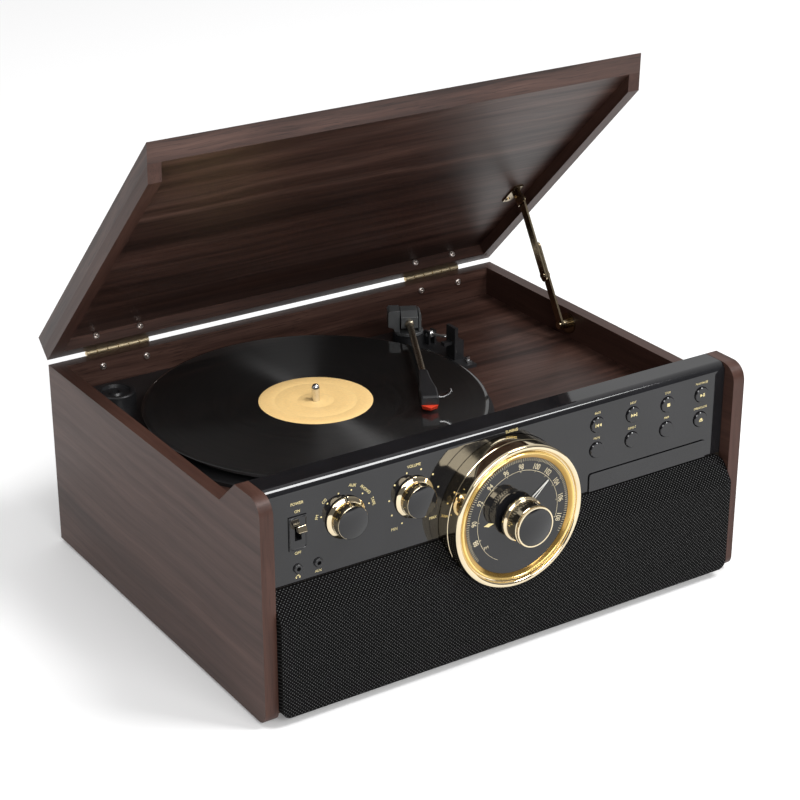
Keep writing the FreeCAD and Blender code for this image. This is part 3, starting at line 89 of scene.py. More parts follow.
class Nodes:
    """A node tree and short calls for adding to it."""

    def __init__(self, tree):
        self.tree = tree

    def feed(self, socket, value):
        """Link a socket to another, or set its constant."""
        if isinstance(value, bpy.types.NodeSocket):
            self.tree.links.new(value, socket)
        else:
            socket.default_value = value

    def add(self, kind, inputs, **settings):
        """New node of a kind, with its settings and its fed inputs."""
        node = self.tree.nodes.new("ShaderNode" + kind)
        for name, value in settings.items():
            setattr(node, name, value)
        for name, value in inputs.items():
            self.feed(node.inputs[name], value)
        return node

    def coords(self, scale=(1, 1, 1), turn=(0, 0, 0), output="Object"):
        """Coordinates of the piece in metres, first turned and then scaled."""
        place = self.add("TexCoord", {}).outputs[output]
        if any(turn):
            place = self.add("Mapping", {"Vector": place, "Rotation": turn}).outputs[0]
        return self.add("Mapping", {"Vector": place, "Scale": scale}).outputs[0]

    def noise(self, place, scale, detail=4.0, roughness=0.55, distortion=0.0):
        inputs = {"Vector": place, "Scale": scale, "Detail": detail, "Roughness": roughness,
                  "Distortion": distortion}
        return self.add("TexNoise", inputs).outputs["Fac"]

    def math(self, operation, *values):
        return self.add("Math", dict(enumerate(values)), operation=operation).outputs[0]

    def vector(self, operation, *values):
        return self.add("VectorMath", dict(enumerate(values)), operation=operation).outputs

    def ramp(self, factor, stops):
        """Colour by factor; stops are (place, grey or colour)."""
        node = self.add("ValToRGB", {"Fac": factor})
        elements = node.color_ramp.elements
        while len(elements) < len(stops):
            elements.new(0.5)
        for element, (place, colour) in zip(elements, stops):
            element.position = place
            parts = colour if isinstance(colour, tuple) else (colour, colour, colour)
            element.color = (*parts, 1)
        return node.outputs["Color"]

    def multiply(self, first, second):
        """Product of two colours."""
        node = self.add("Mix", {"Factor": 1.0}, data_type="RGBA", blend_type="MULTIPLY")
        self.feed(node.inputs[6], first)
        self.feed(node.inputs[7], second)
        return node.outputs[2]


class Paint(Nodes):
    """A material with one principled shader."""

    def __init__(self, name, **sockets):
        self.material = bpy.data.materials.new(name)
        self.material.use_nodes = True
        super().__init__(self.material.node_tree)
        self.shader = self.tree.nodes["Principled BSDF"]
        self.set(**sockets)

    def set(self, **sockets):
        """Feed shader sockets; an underscore in a name stands for a space."""
        for name, value in sockets.items():
            self.feed(self.shader.inputs[name.replace("_", " ")], value)

    def bump(self, height, distance, strength):
        """Relief of the shader's surface, with the distance in metres."""
        node = self.add("Bump", {"Height": height, "Distance": distance, "Strength": strength})
        self.set(Normal=node.outputs["Normal"])


def stretched(along, across_scale, along_scale):
    """Scale of a texture that is drawn out along one axis."""
    return tuple(along_scale if axis == along else across_scale for axis in "xyz")


def toned(colour, tone):
    return tuple(tone * part for part in colour)


# Dark, middle and light of the veneer
VENEER = ((0.0240, 0.0104, 0.0074), (0.0540, 0.0255, 0.0190), (0.1080, 0.0580, 0.0450))


def wood(name, face_grain, edge_grain, tilt=0.0, tone=1.0, contrast=1.0, shine=0.22):
    """Dark open-grain veneer; faces that look along the face grain carry the edge grain. The tone lightens or
    darkens the whole veneer, which the paints use for painted light and shade.
    """
    paint = Paint(name, Specular_IOR_Level=shine)
    turn = (tilt, 0, 0)
    facing = paint.add("SeparateXYZ", {0: paint.coords(turn=turn, output="Normal")})
    sideways = paint.math("ABSOLUTE", facing.outputs["xyz".index(face_grain)])
    on_edge = paint.math("GREATER_THAN", sideways, 0.7)
    place = paint.coords(turn=turn)
    bend = paint.add("TexNoise", {"Vector": place, "Scale": 7.0, "Detail": 2.0}).outputs["Color"]
    sway = paint.vector("SUBTRACT", bend, (0.5, 0.5, 0.5))[0]
    swayed = paint.vector("MULTIPLY_ADD", sway, (0.012, 0.012, 0.012), place)[0]

    def grain(across, along):
        vectors = []
        for axis in (face_grain, edge_grain):
            inputs = {"Vector": swayed, "Scale": stretched(axis, across, along)}
            vectors.append(paint.add("Mapping", inputs).outputs[0])
        node = paint.add("Mix", {"Factor": on_edge, 4: vectors[0], 5: vectors[1]}, data_type="VECTOR")
        return node.outputs[1]

    figure = paint.noise(grain(26, 1.6), 1.0, 3.0, 0.5, 0.6)
    streak = paint.noise(grain(150, 3.5), 1.0, 6.0, 0.65)
    pores = paint.noise(grain(900, 22), 1.0, 3.0, 0.6)
    dark, mid, light = (toned(colour, tone) for colour in VENEER)
    broad = paint.ramp(figure, [(0.50 - 0.20 / contrast, dark), (0.52, mid), (0.52 + 0.22 / contrast, light)])
    fine = paint.ramp(streak, [(0.30, 1 - 0.58 * contrast), (0.50, 0.95), (0.72, 1 + 0.50 * contrast)])
    holes = paint.ramp(pores, [(0.34, 1 - 0.5 * contrast), (0.46, 1.0)])
    paint.set(Base_Color=paint.multiply(paint.multiply(broad, fine), holes))
    paint.set(Roughness=paint.ramp(streak, [(0.3, 0.44), (0.7, 0.38)]))
    depth = paint.math("ADD", paint.math("MULTIPLY", pores, 0.6), streak)
    paint.bump(depth, 0.00006 * contrast, 0.4)
    return paint.material


def gloss_black(name):
    """Polished black plastic with faint smears."""
    paint = Paint(name)
    colour = (0.0075, 0.0075, 0.0085)
    place = paint.coords()
    cloud = paint.noise(place, 22.0, 5.0)
    smears = paint.noise(place, 60.0, 6.0, 0.7)
    paint.set(Base_Color=paint.ramp(cloud, [(0.35, colour), (0.7, toned(colour, 1.5))]))
    paint.set(Roughness=paint.ramp(smears, [(0.35, 0.035), (0.75, 0.075)]))
    paint.bump(paint.noise(place, 240.0, 2.0), 0.000012, 0.4)
    return paint.material


def satin_plastic(name, colour, rough):
    """Moulded plastic with a fine sparked texture."""
    paint = Paint(name)
    place = paint.coords()
    spots = paint.noise(place, 900.0, 3.0, 0.6)
    cloud = paint.noise(place, 30.0)
    paint.set(Base_Color=paint.ramp(cloud, [(0.3, toned(colour, 0.75)), (0.7, toned(colour, 1.3))]))
    paint.set(Roughness=paint.ramp(spots, [(0.3, rough - 0.07), (0.7, rough + 0.07)]))
    paint.bump(spots, 0.00006, 0.4)
    return paint.material


def metal(name, colour, rough, streak_axis=None):
    """Plated metal; a streak axis gives fine brush lines along it."""
    paint = Paint(name, Metallic=1.0)
    scale = stretched(streak_axis, 2500, 40) if streak_axis else (700, 700, 700)
    lines = paint.noise(paint.coords(scale), 1.0, 3.0, 0.6)
    cloud = paint.noise(paint.coords(), 45.0)
    paint.set(Base_Color=paint.ramp(cloud, [(0.3, toned(colour, 0.9)), (0.65, colour)]))
    paint.set(Roughness=paint.ramp(lines, [(0.3, rough * 0.8), (0.7, rough * 1.25)]))
    paint.bump(lines, 0.00001, 0.25)
    return paint.material


def cloth(name):
    """Black basket weave: raised yarn crossings in diagonal rows, painted lighter on the crossings and darker
    in the hollows as light and shade.
    """
    paint = Paint(name, Specular_IOR_Level=0.06)
    pitch = 1.6 * MM
    slope = 0.337
    parts = paint.add("SeparateXYZ", {0: paint.coords()})
    up = paint.math("ADD", parts.outputs["Z"], paint.math("MULTIPLY", parts.outputs["Y"], slope))
    waves = []
    for place in (parts.outputs["X"], up):
        waves.append(paint.math("SINE", paint.math("MULTIPLY", place, math.pi / pitch)))
    cross = paint.math("MULTIPLY", *waves)
    over = paint.math("ABSOLUTE", cross)
    side = paint.math("MULTIPLY_ADD", cross, 0.35, 0.15)
    height = paint.math("MULTIPLY", paint.math("ADD", over, side), 0.67)
    fibre = paint.noise(paint.coords((2200, 2200, 2200)), 1.0, 3.0, 0.7)
    # Painted light and shade: the colour follows the weave's height, near black in the hollows and lighter on
    # the raised crossings.
    weave_light_and_shade = paint.ramp(height, [(0.25, 0.0006), (0.55, 0.004), (0.92, 0.10)])
    paint.set(Base_Color=paint.multiply(weave_light_and_shade, paint.ramp(fibre, [(0.3, 0.55), (0.7, 1.5)])))
    paint.set(Roughness=paint.ramp(fibre, [(0.3, 0.55), (0.7, 0.75)]))
    paint.bump(paint.math("ADD", height, paint.math("MULTIPLY", fibre, 0.15)), 0.0007, 1.0)
    return paint.material


def vinyl(name):
    """Pressed record: fine grooves in bands, with a gloss that streaks across them."""
    paint = Paint(name, Specular_IOR_Level=0.4, Anisotropic=1.0, Anisotropic_Rotation=0.25,
                  Coat_Weight=1.0, Coat_Roughness=0.05)
    bands = record_rings(paint, 190.0, 3.0)
    paint.set(Base_Color=paint.ramp(bands, [(0.35, 0.0055), (0.65, 0.0075)]))
    paint.set(Roughness=paint.ramp(bands, [(0.35, 0.52), (0.65, 0.56)]))
    tangent = paint.add("Tangent", {}, direction_type="RADIAL", axis="Z")
    paint.set(Tangent=tangent.outputs[0])
    return paint.material


def distance_from_axis(paint, node, across):
    """Distance from a round node's own axis; across has ones for the other two directions."""
    away = paint.vector("SUBTRACT", paint.coords(), tuple(middle(node)))[0]
    flat = paint.vector("MULTIPLY", away, across)[0]
    return paint.vector("LENGTH", flat)["Value"]


def record_rings(paint, scale, detail):
    """Noise in rings round the record's axis."""
    radius = distance_from_axis(paint, "record", (1, 1, 0))
    inputs = {"W": paint.math("MULTIPLY", radius, scale), "Scale": 1.0, "Detail": detail}
    return paint.add("TexNoise", inputs, noise_dimensions="1D").outputs["Fac"]


def paper(name):
    """Plain printed record label with faint rings."""
    paint = Paint(name, Specular_IOR_Level=0.3)
    ring = record_rings(paint, 130.0, 2.0)
    fibre = paint.noise(paint.coords(), 420.0, 5.0, 0.7)
    # The orange is the label's own, made lighter as painted light that makes up for the light the lid keeps
    # off it.
    tint = paint.ramp(ring, [(0.3, (0.95, 0.64, 0.27)), (0.7, (0.97, 0.67, 0.29))])
    paint.set(Base_Color=paint.multiply(tint, paint.ramp(fibre, [(0.3, 0.93), (0.7, 1.05)])))
    paint.set(Roughness=paint.ramp(fibre, [(0.3, 0.42), (0.7, 0.55)]))
    paint.bump(fibre, 0.00003, 0.3)
    return paint.material


def glow(name):
    """Gold ring, darker towards the face, with a painted glowing bead near its outer edge; gold and glow both
    vary in random spots.
    """
    paint = Paint(name, Metallic=0.85, Roughness=0.16, Emission_Strength=0.3)
    outer = size("dial_glow_ring").x / 2 * MM
    inner = size("dial_face").x / 2 * MM
    radius = distance_from_axis(paint, "dial_glow_ring", (1, 0, 1))
    share = paint.math("DIVIDE", paint.math("SUBTRACT", radius, inner), outer - inner)
    spots = paint.noise(paint.coords(), 34.0, 3.0)
    gold = [(0.15, (0.42, 0.25, 0.07)), (0.55, (0.55, 0.36, 0.11)), (0.75, (0.90, 0.68, 0.27))]
    tint = paint.ramp(share, gold)
    paint.set(Base_Color=paint.multiply(tint, paint.ramp(spots, [(0.3, 0.8), (0.7, 1.0)])))
    # Painted glow: the bead's emission stands in for light, as no lamp sits behind the ring.
    bead = [(0.52, (0.06, 0.03, 0.0)), (0.70, (1.0, 0.66, 0.20)), (0.95, (0.30, 0.17, 0.03))]
    painted_glow = paint.ramp(share, bead)
    paint.set(Emission_Color=paint.multiply(painted_glow, paint.ramp(spots, [(0.3, 0.6), (0.7, 1.0)])))
    return paint.material


def rubber(name):
    """Matt rubber with a little dust."""
    paint = Paint(name, Specular_IOR_Level=0.3)
    dust = paint.noise(paint.coords(), 300.0, 5.0, 0.7)
    paint.set(Base_Color=paint.ramp(dust, [(0.35, 0.010), (0.75, 0.028)]))
    paint.set(Roughness=paint.ramp(dust, [(0.3, 0.65), (0.7, 0.85)]))
    paint.bump(dust, 0.00008, 0.5)
    return paint.material


def pressed_board(name, tone=1.0):
    """Fibre board with chips and fuzz; a low tone is a dark stain."""
    paint = Paint(name, Specular_IOR_Level=0.25)
    chips = paint.noise(paint.coords((60, 60, 160)), 1.0, 8.0, 0.75)
    fuzz = paint.noise(paint.coords(), 700.0, 4.0, 0.7)
    brown = [(0.3, (0.13, 0.085, 0.05)), (0.55, (0.22, 0.15, 0.09)), (0.75, (0.32, 0.23, 0.15))]
    stain = [(place, toned(colour, tone)) for place, colour in brown]
    paint.set(Base_Color=paint.ramp(chips, stain))
    paint.set(Roughness=paint.ramp(fuzz, [(0.3, 0.7), (0.7, 0.9)]))
    paint.bump(fuzz, 0.0001, 0.5)
    return paint.material


def circuit_green(name):
    """Lacquered circuit board with paler tracks."""
    paint = Paint(name)
    wave = paint.add("TexWave", {"Vector": paint.coords(), "Scale": 90.0, "Distortion": 6.0,
                                 "Detail": 1.0, "Detail Scale": 0.6}).outputs["Fac"]
    tracks = paint.ramp(wave, [(0.46, (0.006, 0.050, 0.020)), (0.54, (0.015, 0.120, 0.045))])
    paint.set(Base_Color=tracks)
    paint.set(Roughness=paint.ramp(wave, [(0.4, 0.22), (0.6, 0.34)]))
    paint.bump(wave, 0.00004, 0.4)
    return paint.material


# Shapes

def middle(node):
    """Centre of a node's box."""
    low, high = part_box(node)
    return (low + high) / 2


def size(node):
    """Extent of a node in millimetres."""
    low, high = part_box(node)
    return (high - low) / MM


def joint_place(name):
    """Point on a joint's axis."""
    return Vector(next(joint for joint in frame["joints"] if joint["name"] == name)["pos_m"])


def stand(node):
    """How far a node stands out of the control panel, in millimetres."""
    return (PANEL_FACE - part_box(node)[0].y) / MM


def round_node(node):
    """Radius of a round node, and how far its back and front stand out of the panel."""
    front = stand(node)
    return size(node).x / 2, front - size(node).y, front


def add_object(name, data):
    """Object in the scene for a mesh, text, lamp or camera."""
    item = bpy.data.objects.new(name, data)
    bpy.context.scene.collection.objects.link(item)
    return item


def to_mesh(name, shape, material):
    """Mesh with one material from a shape, which is used up."""
    mesh = bpy.data.meshes.new(name)
    shape.to_mesh(mesh)
    shape.free()
    mesh.materials.append(material)
    return mesh


def from_bmesh(name, shape, material, body, sharp=35):
    """Piece on a body, smooth between faces that meet at less than the sharp angle."""
    bmesh.ops.recalc_face_normals(shape, faces=shape.faces)
    mesh = to_mesh(name, shape, material)
    mesh.polygons.foreach_set("use_smooth", [True] * len(mesh.polygons))
    mesh.set_sharp_from_angle(angle=math.radians(sharp))
    piece = add_object(name, mesh)
    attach(piece, body)
    return piece


def bevel(piece, width, segments=3, angle=30):
    """Rounded edges where faces meet at more than the angle."""
    item = piece.modifiers.new("soft_edges", "BEVEL")
    item.width = width
    item.segments = segments
    item.limit_method = "ANGLE"
    item.angle_limit = math.radians(angle)
    item.harden_normals = True


def axis_frame(centre, axis):
    """Frame in millimetres whose Z runs along the axis, at the centre."""
    turn = Vector((0, 0, 1)).rotation_difference(Vector(axis)).to_matrix().to_4x4()
    return Matrix.Translation(centre) @ turn @ Matrix.Scale(MM, 4)


def joint_frame(joint, angle, axis):
    """Frame in millimetres at a joint, turned about an axis of the scene."""
    turn = Matrix.Rotation(angle, 4, axis)
    return Matrix.Translation(joint_place(joint)) @ turn @ Matrix.Scale(MM, 4)


def front_frame(node):
    """Frame on the panel face at a node: X right, Y up, Z out to the front."""
    centre = middle(node)
    return axis_frame(Vector((centre.x, PANEL_FACE, centre.z)), (0, -1, 0))


def top_frame(node):
    """Frame at the underside of a node: X right, Y to the back, Z up."""
    centre = middle(node)
    return axis_frame(Vector((centre.x, centre.y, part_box(node)[0].z)), (0, 0, 1))


def around(angle, radius, height=0.0):
    """Point at a clockwise angle from up, in degrees."""
    turn = math.radians(angle)
    return Vector((radius * math.sin(turn), radius * math.cos(turn), height))


def lathe(shape, profile, place, steps):
    """Turn (radius, height) points about a frame's Z axis; a third value is the depth of fine grooves."""
    rings = []
    for radius, height, *rib in profile:
        if radius == 0:
            rings.append([shape.verts.new(place @ Vector((0, 0, height)))])
            continue
        ring = []
        for k in range(steps):
            inset = rib[0] if rib and k % 4 in (2, 3) else 0.0
            ring.append(shape.verts.new(place @ around(360 * k / steps, radius - inset, height)))
        rings.append(ring)
    for low, high in zip(rings, rings[1:]):
        for k in range(steps):
            corners = []
            for ring, step in ((low, k), (low, k + 1), (high, k + 1), (high, k)):
                corners.append(ring[step % len(ring)])
            unique = list(dict.fromkeys(corners))
            if len(unique) > 2:
                shape.faces.new(unique)


def turned(name, profile, place, material, body, steps=PLAIN, hollow=False):
    """Turned piece; a hollow one closes its profile, and a solid one begins and ends on the axis."""
    shape = bmesh.new()
    lathe(shape, profile + profile[:1] if hollow else profile, place, steps)
    bmesh.ops.remove_doubles(shape, verts=shape.verts, dist=0.0001 * MM)
    return from_bmesh(name, shape, material, body)


def loft(shape, sections, place):
    """Closed body through sections that have the same number of points."""
    rings = [[shape.verts.new(place @ Vector(point)) for point in section] for section in sections]
    shape.faces.new(reversed(rings[0]))
    shape.faces.new(rings[-1])
    for low, high in zip(rings, rings[1:]):
        for k in range(len(low)):
            after = (k + 1) % len(low)
            shape.faces.new((low[k], low[after], high[after], high[k]))


def prism(shape, points, place, low, high):
    """Flat plate with an outline of (x, y) points between two heights of a frame."""
    loft(shape, [[(x, y, height) for x, y in points] for height in (low, high)], place)


def plates(name, outlines, place, low, high, material, body, sharp=35):
    """Piece made of flat plates between the same two heights."""
    shape = bmesh.new()
    for outline in outlines:
        prism(shape, outline, place, low, high)
    return from_bmesh(name, shape, material, body, sharp)


# Frames of a prism that runs along x with a (y, z) outline, or along y with an (x, z) outline
ALONG_X = Matrix(((0, 0, 1, 0), (1, 0, 0, 0), (0, 1, 0, 0), (0, 0, 0, 1)))
ALONG_Y = Matrix(((1, 0, 0, 0), (0, 0, 1, 0), (0, 1, 0, 0), (0, 0, 0, 1)))


def rectangle(half_width, half_height):
    """Corners of a rectangle about the middle."""
    return [(x * half_width, y * half_height) for x, y in ((-1, -1), (1, -1), (1, 1), (-1, 1))]


def polar_bar(angle, inner, outer, width):
    """Outline of a straight radial bar."""
    ahead = around(angle, 1.0)
    across = around(angle + 90, width / 2)
    corners = (ahead * inner - across, ahead * inner + across, ahead * outer + across, ahead * outer - across)
    return [(corner.x, corner.y) for corner in corners]


def polar_arc(radius, width, start, stop, step=3.0):
    """Outline of a thin ring sector."""
    count = max(2, round((stop - start) / step))
    angles = [start + (stop - start) * k / count for k in range(count + 1)]
    outer = [around(angle, radius + width / 2) for angle in angles]
    inner = [around(angle, radius - width / 2) for angle in reversed(angles)]
    return [(point.x, point.y) for point in outer + inner]


def dot_outline(centre, radius):
    """Outline of a round dot."""
    count = 20
    spots = [around(360 * k / count, radius) for k in range(count)]
    return [(centre.x + spot.x, centre.y + spot.y) for spot in spots]


def letters(shape, text, cap, place, low, high, spot, turn, narrow=1.0):
    """Add flat capitals of a given height, centred on a spot and turned clockwise."""
    curve = bpy.data.curves.new("letters", "FONT")
    curve.body = text
    curve.extrude = 0.5
    curve.resolution_u = 4
    item = add_object("letters", curve)
    mesh = bpy.data.meshes.new_from_object(item.evaluated_get(bpy.context.evaluated_depsgraph_get()))
    across = [vertex.co.x for vertex in mesh.vertices]
    along = [vertex.co.y for vertex in mesh.vertices]
    centre = Vector(((min(across) + max(across)) / 2, (min(along) + max(along)) / 2, 0))
    grow = cap / (max(along) - min(along))
    stretch = Matrix.Diagonal((grow * narrow, grow, high - low, 1))
    lift = Matrix.Translation((spot[0], spot[1], (low + high) / 2))
    spin = Matrix.Rotation(-math.radians(turn), 4, "Z")
    mesh.transform(lift @ spin @ stretch @ Matrix.Translation(-centre))
    mesh.transform(place)
    shape.from_mesh(mesh)
    bpy.data.meshes.remove(mesh)
    bpy.data.objects.remove(item)
    bpy.data.curves.remove(curve)


def swept_ring(shape, path, radius, place):
    """Round bar bent along a closed path of (x, y) points at height zero of a frame."""
    count, steps = len(path), 10
    rings = []
    for k in range(count):
        before, here, after = (Vector(path[(k + d) % count]) for d in (-1, 0, 1))
        ahead = (after - before).normalized()
        side = Vector((ahead.y, -ahead.x))
        ring = []
        for j in range(steps):
            angle = 2 * math.pi * j / steps
            spot = here + side * radius * math.cos(angle)
            ring.append(shape.verts.new(place @ Vector((spot.x, spot.y, radius * math.sin(angle)))))
        rings.append(ring)
    for k in range(count):
        for j in range(steps):
            first, second = rings[k], rings[(k + 1) % count]
            shape.faces.new((first[j], second[j], second[(j + 1) % steps], first[(j + 1) % steps]))


def rounded_rectangle(width, height, radius):
    """Outline of a rectangle with round corners."""
    steps = 8
    points = []
    for k, (sx, sy) in enumerate(((1, 1), (1, -1), (-1, -1), (-1, 1))):
        for j in range(steps + 1):
            corner = around(90 * k + 90 * j / steps, radius)
            points.append((sx * (width / 2 - radius) + corner.x, sy * (height / 2 - radius) + corner.y))
    return points


# Materials of the pieces

def make_paints():
    """All materials, by the words that the pieces use for them."""
    return {
        # The tones paint light and shade: the side panels are lighter as if lit, and the deck, rear panel and
        # lid boards darker as if shaded by the lid.
        "side_wood": wood("wood_sides", "y", "z", tone=1.2, contrast=0.45),
        "across_wood": wood("wood_across", "x", "y", tone=0.8),
        "lid_wood": wood("wood_lid", "x", "y", LID_ANGLE, 0.85, shine=0.34),
        "lid_side_wood": wood("wood_lid_sides", "y", "x", LID_ANGLE, 1.0, 0.5),
        "panel": gloss_black("panel_gloss"),
        "plastic": satin_plastic("black_plastic", (0.014, 0.014, 0.015), 0.34),
        "gold": metal("champagne_plate", (0.80, 0.68, 0.47), 0.06),
        "steel": metal("bright_steel", (0.78, 0.78, 0.78), 0.2),
        "brass": metal("dull_brass", (0.62, 0.49, 0.30), 0.32, "x"),
        "knuckle": metal("rolled_brass", (0.66, 0.55, 0.36), 0.5),
        "bolt": metal("bolt_nickel", (0.66, 0.60, 0.56), 0.36),
        "silver": metal("satin_silver", (0.80, 0.80, 0.79), 0.42),
        "bronze": metal("stay_bronze", (0.36, 0.29, 0.19), 0.2),
        "alloy": metal("turned_alloy", (0.72, 0.72, 0.73), 0.22),
        "tube": metal("satin_tube", (0.50, 0.43, 0.32), 0.3),
        "arm_plastic": satin_plastic("arm_plastic", (0.060, 0.062, 0.063), 0.36),
        "rubber": rubber("black_rubber"),
        "fibre": pressed_board("fibre_board"),
        "stained": pressed_board("stained_board", 0.06),
        "weave": cloth("grille_weave"),
        "glow": glow("dial_glow"),
        "vinyl": vinyl("record_vinyl"),
        "label": paper("record_label"),
        "circuit": circuit_green("circuit_board"),
        "gold_print": satin_plastic("gold_print", (0.74, 0.62, 0.30), 0.35),
        "cream_print": satin_plastic("cream_print", (0.62, 0.54, 0.36), 0.35),
        "white": satin_plastic("pointer_white", (0.75, 0.74, 0.71), 0.4),
        "red": satin_plastic("stylus_red", (0.66, 0.045, 0.015), 0.3),
    }


def paint_nodes(paints):
    """Give every node that stays its material."""
    use = {
        "side_wood": ["left_side_panel", "right_side_panel"],
        "across_wood": ["rear_panel", "deck_board"],
        "lid_wood": ["lid_board", "lid_rear_wall"],
        "lid_side_wood": ["lid_side_walls"],
        "panel": ["control_panel", "disc_drawer", "power_switch_bezel", "dial_face"]
                 + [name for name in nodes if name.startswith("button_")],
        "plastic": ["speakers", "rear_terminal_plate", "control_switches", "disc_mechanism", "jack_sockets",
                    "turntable_chassis", "small_record_adapter"],
        "steel": ["platter_bearing", "drive_motor", "speed_switch"],
        "brass": ["cabinet_hinge_leaves", "lid_hinge_leaves"],
        "bronze": ["stay_lower_bar", "stay_upper_bar", "stay_lower_bracket", "stay_upper_bracket"],
        "alloy": ["platter", "motor_pulley"],
        "rubber": ["feet", "slip_mat", "drive_belt"],
        "fibre": ["base_panel"],
        "stained": ["baffle_board"],
        "weave": ["speaker_grille"],
        "circuit": ["circuit_boards"],
    }
    for paint, names in use.items():
        for name in names:
            nodes[name].data.materials.clear()
            nodes[name].data.materials.append(paints[paint])


def soften_edges():
    """Small rounded edges on the boards, the switches and the lid's stay."""
    widths = {
        0.8: ["left_side_panel", "right_side_panel", "rear_panel", "lid_board", "lid_side_walls"],
        0.5: ["speed_switch", "power_switch_bezel"],
        0.35: [name for name in nodes if name.startswith("stay_")],
    }
    for width, names in widths.items():
        for name in names:
            bevel(nodes[name], width * MM, angle=50)


# Tuning dial

# Numbers on the scale and their clockwise angles from up
NUMERALS = {88: -108.4, 90: -84.3, 92: -60.7, 94: -40.2, 96: -17.0, 98: 2.8, 100: 24.4, 102: 42.7,
            104: 61.9, 106: 83.8, 108: 107.1}
# Play between the rings of the dial, and radius of a knob's shaft
RING_GAP = 0.1
SHAFT = 3.0


def dial_angle(frequency):
    """Angle on the scale, straight between the printed numbers."""
    marks = sorted(NUMERALS)
    low = max([mark for mark in marks[:-1] if mark <= frequency], default=marks[0])
    high = marks[marks.index(low) + 1]
    share = (frequency - low) / (high - low)
    return NUMERALS[low] + share * (NUMERALS[high] - NUMERALS[low])


def dial_housing(paints):
    """Plated ring with a seam round its side and a stepped, rounded front."""
    radius, back, front = round_node("dial_housing")
    inner = size("dial_glow_ring").x / 2 + RING_GAP
    seam = front / 2
    swell = 2.5
    profile = [
        (inner, back), (radius, back),
        (radius, seam - 0.5), (radius - 0.4, seam - 0.2), (radius - 0.4, seam + 0.2), (radius, seam + 0.5),
    ]
    for angle in range(0, 166, 15):
        turn = math.radians(angle)
        profile.append((radius - swell * (1 - math.cos(turn)), front - swell * (1 - math.sin(turn))))
    profile += [(radius - 5.1, front - 2.6), (radius - 5.6, front - 2.3), (inner, front - 2.6)]
    ring = turned("dial_rim", profile, front_frame("dial_housing"), paints["gold"], "cabinet",
                  MANY, hollow=True)
    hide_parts("dial_housing")


def dial_glow_ring(paints):
    """Ring with a painted glow and a rounded front, open behind as a light guide."""
    outer, back, front = round_node("dial_glow_ring")
    inner = size("dial_face").x / 2 + RING_GAP
    profile = [
        (inner, back), (outer, back), (outer, front - 1.2), (outer - 0.4, front - 0.4), (outer - 1.0, front),
        (outer - 1.7, front - 0.3), (outer - 2.1, front - 1.0), (outer - 2.6, front - 1.3),
        (inner + 0.6, front - 2.4), (inner, front - 2.8),
    ]
    ring = turned("glow_ring", profile, front_frame("dial_glow_ring"), paints["glow"], "cabinet",
                  MANY, hollow=True)
    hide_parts("dial_glow_ring")


def dial_print(paints):
    """Numbers, ticks, inner arc and marker printed on the dial face."""
    place = front_frame("dial_face")
    low = stand("dial_face") - PRINT_SUNK
    high = low + 0.14
    edge = size("dial_face").x / 2
    line = 0.3
    rim = edge - line
    arc = edge - 11.0
    number_cap, number_width, number_ring = 4.9, 0.74, edge - 7.4
    tick_step, short_tick, long_tick, inner_tick = 0.2, 2.5, 3.2, 1.6
    shape = bmesh.new()
    for frequency, angle in NUMERALS.items():
        spot = around(angle, number_ring)
        letters(shape, str(frequency), number_cap, place, low, high, spot, angle, number_width)
    for k in range(-8, 107):
        angle = dial_angle(min(NUMERALS) + tick_step * k)
        reach = long_tick if k % 10 == 0 else short_tick
        prism(shape, polar_bar(angle, rim - reach, rim, line), place, low, high)
    prism(shape, polar_arc(arc, line, -151, 107), place, low, high)
    for angle in NUMERALS.values():
        prism(shape, polar_bar(angle, arc - inner_tick, arc, line), place, low, high)
    letters(shape, "FM", 2.6, place, low, high, (-31, -20.5), -12)
    from_bmesh("dial_scale", shape, paints["cream_print"], "cabinet")
    centre = around(-91, edge - 22)
    diamond = [(centre.x + x, centre.y + y) for x, y in ((-5.0, 0), (0, 1.8), (5.0, 0), (0, -1.8))]
    plates("dial_marker", [diamond], place, low, high, paints["gold_print"], "cabinet")


def dial_pointer(paints):
    """Dark tapered blade with two pale edges that meet at the tip."""
    place = front_frame("dial_face")
    low = stand("dial_pointer") - size("dial_pointer").y
    high = stand("dial_pointer")
    foot, tip, half = 4.0, 38.7, 2.9
    ahead, across = around(POINTER_ANGLE, 1.0), around(POINTER_ANGLE + 90, 1.0)

    def outline(corners):
        spots = [ahead * reach + across * side for reach, side in corners]
        return [(spot.x, spot.y) for spot in spots]

    blade = outline([(foot, -half), (foot, half), (tip - 1, 0.3), (tip - 1, -0.3)])
    plates("pointer_blade", [blade], place, low, high - 0.3, paints["plastic"], "pointer")
    edges = []
    for side in (-1, 1):
        bar = [(foot, side * 2.1), (foot, side * half), (tip, side * 0.35), (tip, 0.0), (tip - 4, side * 0.1)]
        edges.append(outline(bar))
    edge_piece = plates("pointer_edges", edges, place, low, high, paints["white"], "pointer")
    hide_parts("dial_pointer")


